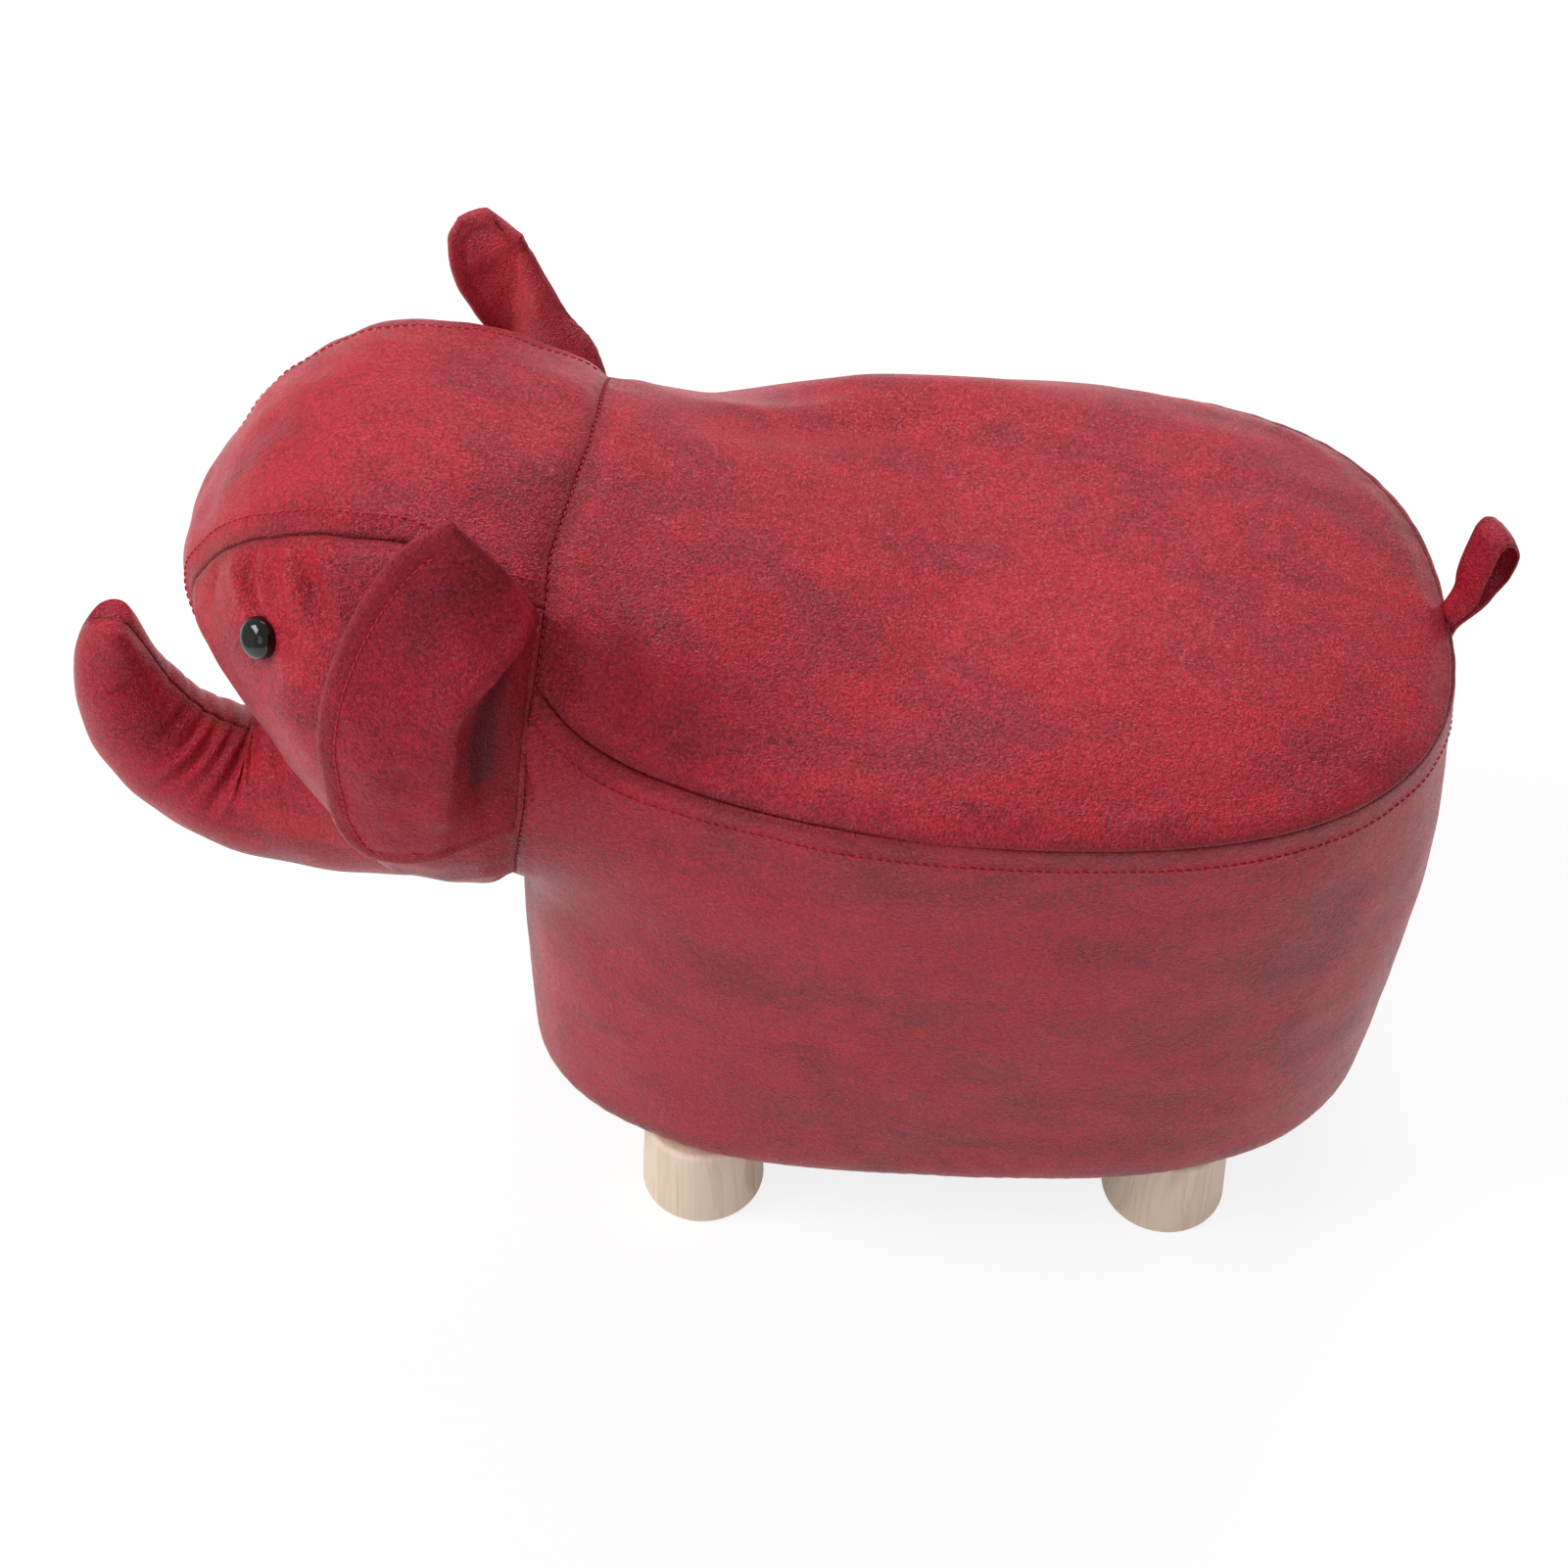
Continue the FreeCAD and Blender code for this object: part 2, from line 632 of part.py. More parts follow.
base_board_form = core_inner.common(between(board_low, board_high))
base_board = solid_node("base_board", cut_all(base_board_form, bolt_holes + nut_holes + low_screws + all_staples))
seat_board_form = core_inner.common(between(seat_board_low, seat_board_high))
seat_board = solid_node("seat_board", cut_all(seat_board_form, high_screws))
hoop = core_outer.cut(core_inner).common(between(board_low + size("hoop_lift"), seat_board_high))
solid_node("frame_wall", hoop)
solid_node("post_screws_base", Part.makeCompound(low_screws))
solid_node("post_screws_top", Part.makeCompound(high_screws))

dust_form = flat_oval(size("hem_width") - size("dust_overlap"), dust_low, belly)
solid_node("dust_cover", cut_all(dust_form, bolt_holes + all_staples))
solid_node("cover_staples", Part.makeCompound(cover_staples))
solid_node("dust_cover_staples", Part.makeCompound(dust_staples))


# Foam of the sides and the seat

pad_ring = wall_inner.cut(core_outer).common(between(belly, seat_board_high))
pad_gap = size("pad_joint_gap") / 2
front_line = size("leg_front_station")
rear_line = size("leg_rear_station")
reach = size("seat_front_reach") * 3
tall = seam * 2
solid_node("front_pad", pad_ring.common(slab(-reach, front_line - pad_gap, -reach, reach, 0, tall)))
solid_node("rear_pad", pad_ring.common(slab(rear_line + pad_gap, reach, -reach, reach, 0, tall)))
for side_name, side in SIDES:
    low, high = (-reach, 0) if side < 0 else (0, reach)
    zone = slab(front_line + pad_gap, rear_line - pad_gap, low, high, 0, tall)
    solid_node("%s_pad" % side_name, pad_ring.common(zone))
foam_low = wall_inner.common(between(seat_board_high, seam))
solid_node("seat_foam", foam_low.fuse(crown_inner).removeSplitter())


# Eyes first, because the cheeks and the stuffing are cut for them

EYE_DOME_SHARE = 0.94
eye_bodies, washer_bodies, eye_cuts = [], [], []
for side_name, side in SIDES:
    spot = Vector(size("eye_station"), size("eye_side") * side, size("eye_height"))
    lifted = spot + Vector(-1, side, 1) * size("eye_radius")
    pair = head_outer.distToShape(Part.Vertex(lifted))[1][0]
    out = (lifted - pair[0]).normalize()
    on_skin = head_outer.distToShape(Part.Vertex(spot + out * size("eye_radius")))[1][0][0]
    turn = Rotation(Vector(0, 0, 1), out)
    sink = cell("eye_sink")
    eye, _ = profile_body("eye_" + side_name, [
        (None, cell("eye_depth")), (None, "0 - %s" % cell("eye_shank_length")),
        (cell("eye_shank_radius"), "0 - %s" % cell("eye_shank_length")),
        (cell("eye_shank_radius"), "0 - %s" % sink),
        (cell("eye_radius"), "0 - %s" % sink), (cell("eye_radius"), cell("eye_depth"))])
    washer, _ = profile_body("eye_washer_" + side_name, [
        (cell("eye_shank_radius"), "0 - %s" % cell("washer_depth")),
        (cell("washer_radius"), "0 - %s" % cell("washer_depth")),
        (cell("washer_radius"), "0 - %s - %s" % (cell("washer_depth"), cell("washer_thick"))),
        (cell("eye_shank_radius"), "0 - %s - %s" % (cell("washer_depth"), cell("washer_thick")))])
    eye.Placement = Placement(on_skin, turn)
    washer.Placement = Placement(on_skin, turn)
    eye_bodies.append(eye)
    washer_bodies.append(washer)
doc.recompute()
for eye in eye_bodies:
    raw = eye.Tip
    domed = eye.newObject("PartDesign::Fillet", eye.Name + "_domed")
    best = max(
        (edge.Length, number)
        for number, edge in enumerate(raw.Shape.Edges, start=1)
        if isinstance(edge.Curve, Part.Circle) and edge.Curve.Center.z > size("eye_depth") / 2
    )
    domed.Base = (raw, ["Edge%d" % best[1]])
    domed.setExpression("Radius", "%s * %s" % (cell("eye_depth"), EYE_DOME_SHARE))
doc.recompute()
for body in eye_bodies + washer_bodies:
    keep(body, body.Name)
eye_cuts = [body.Shape.copy() for body in eye_bodies]
washer_cuts = [body.Shape.copy() for body in washer_bodies]


# Head panels: a crown panel between two cheeks, closed behind by the neck seam

CROWN_SEAM_SHARES = (
    # ahead of the neck ring and half width, as shares of the neck half height
    (-0.60, 0.80), (-0.088, 0.752), (0.12, 0.715), (0.295, 0.693), (0.517, 0.689), (0.708, 0.665),
    (0.871, 0.625), (1.048, 0.560), (1.21, 0.490), (1.36, 0.424), (1.7, 0.38),
)


def crown_zone():
    unit = size("neck_half_height")
    near, far = [], []
    for ahead, half in CROWN_SEAM_SHARES:
        x = size("neck_station") - ahead * unit
        near.append(Vector(x, -half * unit, size("head_front_height")))
        far.append(Vector(x, half * unit, size("head_front_height")))
    loop = near + far[::-1]
    face = Part.Face(Part.makePolygon(loop + loop[:1]))
    return face.extrude(Vector(0, 0, unit * 2))


head_front_shell = head_shell.cut(neck_back)
crown_prism = crown_zone()
solid_node("head_crown_panel", head_front_shell.common(crown_prism))
cheeks = head_front_shell.cut(crown_prism).cut(trunk_inner).cut(wall_outer)
for side_name, side in SIDES:
    cheek = cheeks.common(half_space(side)).cut(eye_cuts)
    solid_node("cheek_panel_%s" % side_name, cheek)

stuffing = head_inner.cut(wall_outer).cut(crown_outer).cut(eye_cuts + washer_cuts)
solid_node("head_stuffing", stuffing)
trunk_shell = trunk_outer.cut(trunk_inner).cut(head_outer)
for side_name, side in SIDES:
    solid_node("trunk_panel_%s" % side_name, trunk_shell.common(half_space(side)))
solid_node("trunk_stuffing", trunk_inner.cut(head_inner))
solid_node("side_cover", cut_all(side_cover_form, bolt_holes + all_staples))
solid_node("seat_cover", seat_cover_form)


# Ears: cupped flaps hinged on a rolled root beside the neck seam

LEFT_EAR_SECTION_SHARES = (
    # height, then plan places of the back edge, the ridge and the front edge, as shares of the
    # neck half height from the neck ring
    (-0.220, (-0.252, 1.265), (-0.423, 1.315), (-0.593, 1.285)),
    (-0.089, (-0.011, 1.235), (-0.372, 1.355), (-0.704, 1.300)),
    (0.081, (0.109, 1.200), (-0.302, 1.381), (-0.744, 1.305)),
    (0.282, (0.150, 1.160), (-0.252, 1.396), (-0.754, 1.315)),
    (0.483, (0.180, 1.104), (-0.202, 1.401), (-0.734, 1.315)),
    (0.684, (0.210, 1.044), (-0.142, 1.386), (-0.684, 1.305)),
    (0.885, (0.230, 0.984), (-0.091, 1.335), (-0.603, 1.275)),
    (1.065, (0.170, 0.984), (-0.091, 1.265), (-0.523, 1.245)),
    (1.226, (0.059, 1.064), (-0.152, 1.235), (-0.412, 1.225)),
    (1.356, (-0.041, 1.114), (-0.142, 1.195), (-0.282, 1.195)),
    (1.456, (-0.110, 1.154), (-0.150, 1.175), (-0.200, 1.175)),
)

RIGHT_EAR_SECTION_SHARES = (
    # the right ear stands further out and its front edge curls back over the cheek
    (-0.220, (-0.172, 1.265), (-0.322, 1.320), (-0.453, 1.295)),
    (-0.089, (-0.001, 1.220), (-0.252, 1.365), (-0.493, 1.315)),
    (0.081, (0.119, 1.200), (-0.182, 1.396), (-0.473, 1.345)),
    (0.282, (0.150, 1.160), (-0.111, 1.416), (-0.383, 1.376)),
    (0.483, (0.190, 1.084), (-0.051, 1.396), (-0.272, 1.376)),
    (0.623, (0.109, 1.084), (-0.111, 1.376), (-0.332, 1.355)),
    (0.744, (0.019, 1.124), (-0.192, 1.365), (-0.423, 1.335)),
    (0.864, (-0.021, 1.155), (-0.252, 1.355), (-0.473, 1.325)),
    (0.985, (-0.061, 1.185), (-0.282, 1.345), (-0.488, 1.315)),
    (1.105, (-0.121, 1.225), (-0.302, 1.325), (-0.473, 1.305)),
    (1.206, (-0.232, 1.255), (-0.342, 1.305), (-0.443, 1.295)),
    (1.276, (-0.302, 1.275), (-0.352, 1.295), (-0.403, 1.290)),
)


def ear_section(row, side, outer_depth, inner_depth, rim):
    """Plan crescent between two depths below the ear's outer face, its ends drawn in by rim."""
    unit = size("neck_half_height")
    height, *places = row
    z = size("neck_height") + height * unit
    back, ridge, front = [Vector(size("neck_station") + x * unit, y * unit, z) for x, y in places]
    curve = Part.Arc(back, ridge, front).toShape()
    first, last = curve.ParameterRange
    cut_in = rim / curve.Length * (last - first)
    picks = (first + cut_in, (first + last) / 2, last - cut_in)
    faces = []
    for depth in (outer_depth, inner_depth):
        row_points = []
        for at in picks:
            spot = curve.valueAt(at)
            along = curve.tangentAt(at)
            row_points.append(spot + Vector(-along.y, along.x, 0) * depth)
        faces.append([Vector(p.x, p.y * side, p.z) for p in row_points])
    (a, b, c), (d, e, f) = faces
    edges = [Part.Arc(a, b, c).toShape(), Part.makeLine(c, f)]
    edges = edges + [Part.Arc(f, e, d).toShape(), Part.makeLine(d, a)]
    return Part.Wire(edges)


def ear_form(side, outer_depth, inner_depth, rim):
    rows = LEFT_EAR_SECTION_SHARES if side < 0 else RIGHT_EAR_SECTION_SHARES
    return loft([ear_section(row, side, outer_depth, inner_depth, rim) for row in rows])


ear_depth = size("ear_skin_thick") * 2 + size("ear_pad_thick")


def ear_axis(side):
    """Hinge line of an ear: a point and an upward direction."""
    point = Vector(size("ear_hinge_station"), size("ear_hinge_side") * side, size("ear_hinge_height"))
    lean = Vector(EAR_AXIS[0], EAR_AXIS[1] * side, EAR_AXIS[2])
    return point, lean.normalize()


EAR_AXIS = (0.13, -0.27, 1.0)
for side_name, side in SIDES:
    whole = ear_form(side, 0, ear_depth, 0)
    pad = ear_form(side, size("ear_skin_thick"), ear_depth - size("ear_skin_thick"), size("ear_rim"))
    box = whole.BoundBox
    pad = pad.common(between(box.ZMin + size("ear_rim"), box.ZMax - size("ear_rim")))
    point, lean = ear_axis(side)
    start = point + lean * ((size("ear_bead_low") - point.z) / lean.z)
    end = point + lean * ((size("ear_bead_high") - point.z) / lean.z)
    bead = Part.makeCylinder(size("ear_bead_radius"), (end - start).Length, start, lean)
    outer = ear_form(side, 0, ear_depth / 2, 0).cut(pad).fuse(bead.cut(pad))
    inner = ear_form(side, ear_depth / 2, ear_depth, 0).cut(pad).cut(bead)
    solid_node("ear_%s_outer_skin" % side_name, outer)
    solid_node("ear_%s_padding" % side_name, pad)
    solid_node("ear_%s_inner_skin" % side_name, inner)


# Tail: a strap folded into a loop, both ends held in the rear seam

TAIL_LOOP_SHARES = (
    # shares of the reach and of the height, and which way the strap's outer face looks there
    ((1.00, 0.42), (1.0, 0.0)), ((0.90, 0.84), (0.8, 0.6)), ((0.62, 1.00), (0.0, 1.0)),
    ((0.34, 0.86), (-0.8, 0.6)), ((0.20, 0.48), (-1.0, 0.2)),
)
TAIL_PARTING_SHARE = 0.07


def tail_wire(half_strap, base_half, base_height):
    """Teardrop outline of the loop in its own plane, half_strap off its middle line."""
    points = []
    for (along, up), (face_x, face_z) in TAIL_LOOP_SHARES:
        x = along * size("tail_reach") + face_x * half_strap
        points.append(Vector(x, 0, up * size("tail_height") + face_z * half_strap))
    first = Vector(base_half, 0, base_height)
    last = Vector(-base_half, 0, base_height)
    edges = [Part.Arc(first, points[0], points[1]).toShape()]
    edges.append(Part.Arc(points[1], points[2], points[3]).toShape())
    edges.append(Part.Arc(points[3], points[4], last).toShape())
    if base_half > 0:
        edges.append(Part.makeLine(last, first))
    return Part.Wire(edges)


strap = size("tail_strap_thick")
tail_outline = Part.Face(tail_wire(strap / 2, strap, 0))
tail_hollow = Part.Face(tail_wire(-strap / 2, 0, size("tail_height") * TAIL_PARTING_SHARE))
across = Vector(0, size("tail_width"), 0)
tail = tail_outline.extrude(across).cut(tail_hollow.extrude(across))
tail.translate(Vector(0, -size("tail_width") / 2, 0))
tail_base = Vector(size("tail_station"), -size("tail_side"), size("tail_base_height"))
tail.Placement = Placement(tail_base, Rotation(Vector(0, 0, 1), size("tail_yaw"))).multiply(tail.Placement)
solid_node("tail_loop", tail)

doc.recompute()
os.makedirs("parts", exist_ok=True)
for obj in nodes:
    shape = obj.Shape
    if "Invalid" in obj.State or "Error" in obj.State:
        raise ValueError("%s did not recompute: %s" % (obj.Label, obj.State))
    if shape.isNull() or not shape.Solids or not shape.isValid():
        raise ValueError("%s has no sound solid" % obj.Label)
    shape.exportStep("parts/%s.step" % obj.Label)
    box = shape.BoundBox
    spans = (box.XMin, box.XMax, box.YMin, box.YMax, box.ZMin, box.ZMax)
    words = (obj.Label, len(shape.Solids), shape.Volume) + spans
    print("%-22s solids %d vol %d  x %.1f..%.1f y %.1f..%.1f z %.1f..%.1f" % words)
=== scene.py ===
import math

import bpy
import numpy as np
from mathutils import Matrix, Vector


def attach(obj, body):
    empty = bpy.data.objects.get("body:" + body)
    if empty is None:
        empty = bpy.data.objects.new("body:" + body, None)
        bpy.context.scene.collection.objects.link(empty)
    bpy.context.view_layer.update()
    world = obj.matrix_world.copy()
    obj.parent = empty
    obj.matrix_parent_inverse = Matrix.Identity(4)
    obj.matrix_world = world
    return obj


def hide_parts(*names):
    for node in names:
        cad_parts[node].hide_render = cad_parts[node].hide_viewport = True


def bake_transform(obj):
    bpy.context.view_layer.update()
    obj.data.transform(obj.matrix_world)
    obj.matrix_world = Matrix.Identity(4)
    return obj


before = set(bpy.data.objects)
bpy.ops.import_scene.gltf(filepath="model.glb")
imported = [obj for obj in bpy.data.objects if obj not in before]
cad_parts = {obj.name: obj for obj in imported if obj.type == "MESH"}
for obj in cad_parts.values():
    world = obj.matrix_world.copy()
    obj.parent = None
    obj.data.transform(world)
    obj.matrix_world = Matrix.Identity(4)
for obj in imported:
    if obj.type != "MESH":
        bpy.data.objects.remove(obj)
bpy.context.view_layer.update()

MM = 0.001

# The photograph's camera, in millimetres of the stool's own frame

LENS_PIXELS, PHOTO_PIXELS, SENSOR = 2432.0, 1601.0, 36.0
CAMERA_AIM, CAMERA_AWAY, CAMERA_LEFT, CAMERA_DOWN = Vector((109.5, 0.0, 305.0)), 1000.0, 101.0, 79.5
turn, rise = math.radians(1.6), math.radians(46.0)
look_back = Vector((math.sin(turn) * math.cos(rise), -math.cos(turn) * math.cos(rise), math.sin(rise)))
look_right = Vector((math.cos(turn), math.sin(turn), 0.0))
look_up = look_back.cross(look_right)
eye_place = look_back * CAMERA_AWAY - look_right * CAMERA_LEFT - look_up * CAMERA_DOWN + CAMERA_AIM
lens = bpy.data.cameras.new("photo_camera")
lens.sensor_fit = "HORIZONTAL"
lens.sensor_width = SENSOR
lens.lens = SENSOR * LENS_PIXELS / PHOTO_PIXELS
lens.clip_start = 0.01
camera = bpy.data.objects.new("photo_camera", lens)
bpy.context.scene.collection.objects.link(camera)
facing = Matrix((look_right, look_up, look_back)).transposed().to_4x4()
camera.matrix_world = Matrix.Translation(eye_place * MM) @ facing
bpy.context.scene.camera = camera
bpy.context.scene.view_settings.view_transform = "Standard"


# Small maths for arrays of points

def mix(low, high, share):
    return low + (high - low) * share


def ease(value, low, high):
    share = np.clip((value - low) / (high - low), 0, 1)
    return share * share * (3 - 2 * share)


def bell(value, centre, width):
    return np.exp(-((value - centre) / width) ** 2)


def squared(wave, power):
    """A sine or cosine made fuller, for powers below 1, or thinner."""
    return np.sign(wave) * np.abs(wave) ** power


def table_at(table, at):
    """Straight lines between the pairs of a table."""
    return np.interp(at, [a for a, _ in table], [b for _, b in table])


def through(stations, values, at):
    """Monotone cubic through a table of stations and values."""
    x, y = np.asarray(stations, float), np.asarray(values, float)
    h = np.diff(x)
    d = np.diff(y) / h
    m = np.zeros_like(y)
    m[0], m[-1] = d[0], d[-1]
    for i in range(1, len(d)):
        if d[i - 1] * d[i] > 0:
            a, b = 2 * h[i] + h[i - 1], h[i] + 2 * h[i - 1]
            m[i] = (a + b) / (a / d[i - 1] + b / d[i])
    at = np.asarray(at, float)
    i = np.clip(np.searchsorted(x, at) - 1, 0, len(h) - 1)
    t = np.clip((at - x[i]) / h[i], 0, 1)
    keep_low, keep_high = (1 + 2 * t) * (1 - t) ** 2, t * t * (3 - 2 * t)
    lean_low, lean_high = t * (1 - t) ** 2, t * t * (t - 1)
    return keep_low * y[i] + keep_high * y[i + 1] + h[i] * (lean_low * m[i] + lean_high * m[i + 1])


def halved(inside, low, high, times):
    """The edge between low, where it is inside, and high, where it isn't, found by halving."""
    for _ in range(times):
        middle = (low + high) / 2
        within = inside(middle)
        low, high = np.where(within, middle, low), np.where(within, high, middle)
    return high


def ripple(points, length, seed, count=7):
    """Soft irregular swell between about -1 and 1, its waves about length long."""
    draw = np.random.default_rng(seed)
    total = np.zeros(points.shape[:-1])
    for _ in range(count):
        way = draw.normal(size=3)
        way = way / np.linalg.norm(way) * draw.uniform(0.7, 1.5) * 2 * math.pi / length
        total = total + np.sin(points @ way + draw.uniform(0, 2 * math.pi))
    return total / math.sqrt(count)


def unit(vectors):
    return vectors / np.maximum(np.linalg.norm(vectors, axis=-1, keepdims=True), 1e-12)


def towards(out, score):
    """The normals themselves, or turned round where their score is negative."""
    return -out if score < 0 else out


def between_ways(a, b, share):
    """Directions a share of the way from a to b along the great circle."""
    angle = np.arccos(np.clip((a * b).sum(-1, keepdims=True), -1, 1))
    angle = np.maximum(angle, 1e-6)
    return (np.sin((1 - share) * angle) * a + np.sin(share * angle) * b) / np.sin(angle)


def steps_from_edge(total, first, growth, widest):
    """Stations from 0 to total whose steps grow from first to widest."""
    spots, step = [0.0], first
    while spots[-1] < total:
        spots.append(spots[-1] + step)
        step = min(step * growth, widest)
    spots = np.array(spots)
    return spots * (total / spots[-1])


def both_edges(total, first, growth, widest):
    half = steps_from_edge(total / 2, first, growth, widest)
    return np.concatenate([half, total - half[-2::-1]])


def end_shares(count, crowding):
    """Shares from 0 to 1, crowded towards both ends."""
    return (1 - np.cos(np.linspace(0, math.pi, count))) / 2 * crowding + np.linspace(0, 1, count) * (1 - crowding)


def lengths_along(points):
    """Lengths from the first point of a line, or from the first row of a grid down each column."""
    run = np.linalg.norm(np.diff(points, axis=0), axis=-1)
    return np.concatenate([np.zeros((1,) + run.shape[1:]), np.cumsum(run, axis=0)])


def spots_at(at, run, points):
    """Points of a line at lengths along it, with straight steps between its own points."""
    return np.stack([np.interp(at, run, points[:, k]) for k in range(3)], -1)


def curve_at(at, run, marks):
    """Points at lengths along the smooth curve through the marks."""
    return np.stack([through(run, marks[:, k], at) for k in range(3)], -1)


def even_line(points, count):
    """The same line in count equal steps."""
    run = lengths_along(points)
    return spots_at(np.linspace(0, run[-1], count), run, points)


def smoothed(values, reach=9):
    """Evens out a line of values with a bell of the given reach, its ends held."""
    weights = bell(np.arange(-2 * reach, 2 * reach + 1), 0, reach)
    weights = weights / weights.sum()
    before, after = 2 * values[:1] - values[2 * reach:0:-1], 2 * values[-1:] - values[-2:-2 * reach - 2:-1]
    padded = np.concatenate([before, values, after])
    if values.ndim == 1:
        return np.convolve(padded, weights, "valid")
    return np.stack([np.convolve(padded[:, k], weights, "valid") for k in range(values.shape[1])], -1)


def relaxed(grid, times):
    """A grid whose columns go round, evened out with its first and last rows held."""
    for _ in range(times):
        inner = grid[1:-1]
        level = (np.roll(inner, 1, 1) + np.roll(inner, -1, 1) + grid[:-2] + grid[2:] + 2 * inner) / 6
        grid = np.concatenate([grid[:1], level, grid[-1:]])
    return grid


def grid_normals(grid, round_columns):
    down = np.gradient(grid, axis=0)
    if round_columns:
        across = np.roll(grid, -1, 1) - np.roll(grid, 1, 1)
    else:
        across = np.gradient(grid, axis=1)
    return unit(np.cross(across, down))


def to_line(points, line):
    """Distance of each point from a dense line."""
    flat = points.reshape(-1, 3)
    nearest = np.empty(len(flat))
    for start in range(0, len(flat), 4000):
        part = flat[start:start + 4000]
        nearest[start:start + 4000] = np.sqrt(((part[:, None] - line[None]) ** 2).sum(-1).min(1))
    return nearest.reshape(points.shape[:-1])


# Body and neck as smooth forms, in millimetres, with negative values inside

STATION, SEAM_HEIGHT, BELLY_LOW, BELLY_ROUND = 109.5, 305.0, 50.0, 18.0
BASE_FRONT, BASE_REAR, BASE_HALF, BASE_ROUNDNESS = 223.0, 180.0, 127.0, 2.85
SEAT_FRONT, SEAT_REAR, SEAT_HALF, SEAT_ROUNDNESS, TAIL_ROUNDNESS = 205.0, 176.0, 145.0, 2.5, 2.6
SEAT_CROWN, SEAT_CROWN_POWER = 27.0, 4.2
NECK_STATION, NECK_HEIGHT, HEAD_LENGTH, NECK_LENGTH = -93.4, 283.9, 132.4, 190.0
RING_HALF_WIDTH, RING_HALF_HEIGHT, RING_WRAP, RING_LEAN, RING_ROUNDNESS = 110.1, 99.6, 12, 15, 2.2
ROOT_HALF_WIDTH, ROOT_HALF_HEIGHT, ROOT_DROP, ROOT_ROUNDNESS = 112, 86, 43.9, 2.6
NOSE_LEAN, NOSE_HEIGHT, HEAD_ARCH = -30, 296.8, 4.7
JOIN_HEIGHT = 338.5
FAR_FULLNESS = ((-70, 6), (-41, 10), (-28, 13), (5, 14), (40, 15), (75, 12), (110, 8), (143, 4), (180, 1), (220, 0))


def oval_level(x, y, front, rear, half, front_round):
    roundness = np.where(x > 0, TAIL_ROUNDNESS, front_round)
    reach = np.where(x > 0, rear, front)
    return ((np.abs(x) / reach) ** roundness + (np.abs(y) / half) ** roundness) ** (1 / roundness)


def body_level(p):
    x, y, z = p[..., 0] - STATION, p[..., 1], p[..., 2]
    share = np.clip((z - BELLY_LOW - BELLY_ROUND) / (SEAM_HEIGHT - BELLY_LOW - BELLY_ROUND), 0, 1)
    swell = np.sin(math.pi * share)
    under = np.clip((BELLY_LOW + BELLY_ROUND - z) / BELLY_ROUND, 0, 1)
    drawn = BELLY_ROUND * (1 - np.sqrt(1 - under ** 2))
    front = mix(BASE_FRONT, SEAT_FRONT, share) + 4 * swell - drawn
    rear = mix(BASE_REAR, SEAT_REAR, share) + 8 * swell - drawn
    half = mix(BASE_HALF, SEAT_HALF, share) - drawn
    level = oval_level(x, y, front, rear, half, mix(BASE_ROUNDNESS, SEAT_ROUNDNESS, share))
    wall = np.hypot(x, y) * (1 - 1 / np.maximum(level, 1e-6))
    top_level = np.minimum(oval_level(x, y, SEAT_FRONT, SEAT_REAR, SEAT_HALF, SEAT_ROUNDNESS), 1.3)
    fullness = table_at(FAR_FULLNESS, p[..., 0])
    fullness = fullness * bell(y, 112, 34) * np.clip(1 - top_level ** 10, 0, 1)
    top = SEAM_HEIGHT + SEAT_CROWN * (1 - top_level ** SEAT_CROWN_POWER) + fullness
    return np.where(z > SEAM_HEIGHT, np.maximum(wall, z - top), wall)


# The head and neck tube: one table of rounded sections, told by how far ahead of the neck ring they are

NECK_SHARES = np.array((1.0, 0.78, 0.58, 0.4, 0.25, 0.12))
HEAD_SHARES = np.array((0.0, 0.12, 0.25, 0.40, 0.55, 0.68, 0.79, 0.88, 0.94, 0.98, 0.997, 1.0))
HEAD_WIDTHS = (1.0, 1.074, 1.128, 1.13, 1.046, 0.90, 0.729, 0.576, 0.42, 0.248, 0.10, 0.0)
HEAD_HEIGHTS = (1.0, 1.063, 1.106, 1.097, 1.009, 0.867, 0.702, 0.551, 0.40, 0.236, 0.09, 0.0)
HEAD_LOWS = (1.0, 0.93, 0.87, 0.88, 0.93, 0.98, 1.0, 1.0, 1.0, 1.0, 1.0, 1.0)
HEAD_WRAPS = (1.0, 0.66, 0.28, 0.0, 0.0, 0.0, 0.0, 0.0, 0.0, 0.0, 0.0, 0.0)
ahead = np.concatenate([np.linspace(-NECK_LENGTH, 0, 300)[:-1], HEAD_LENGTH * (1 - (1 - np.linspace(0, 1, 400)) ** 2)])
tube_key = np.where(ahead < 0, ahead / 200, 1 - np.sqrt(np.clip(1 - ahead / HEAD_LENGTH, 0, 1)))
own_keys = np.concatenate([-NECK_SHARES * NECK_LENGTH / 200, 1 - np.sqrt(1 - HEAD_SHARES)])
neck_swell = 9 * np.sin(math.pi * NECK_SHARES)
head_share, neck_share = ahead / HEAD_LENGTH, ahead / NECK_LENGTH


def along_tube(neck, head):
    """One measure of the sections all along the tube, from its values at the neck's and the head's shares."""
    return through(own_keys, np.concatenate([neck, head]), tube_key)


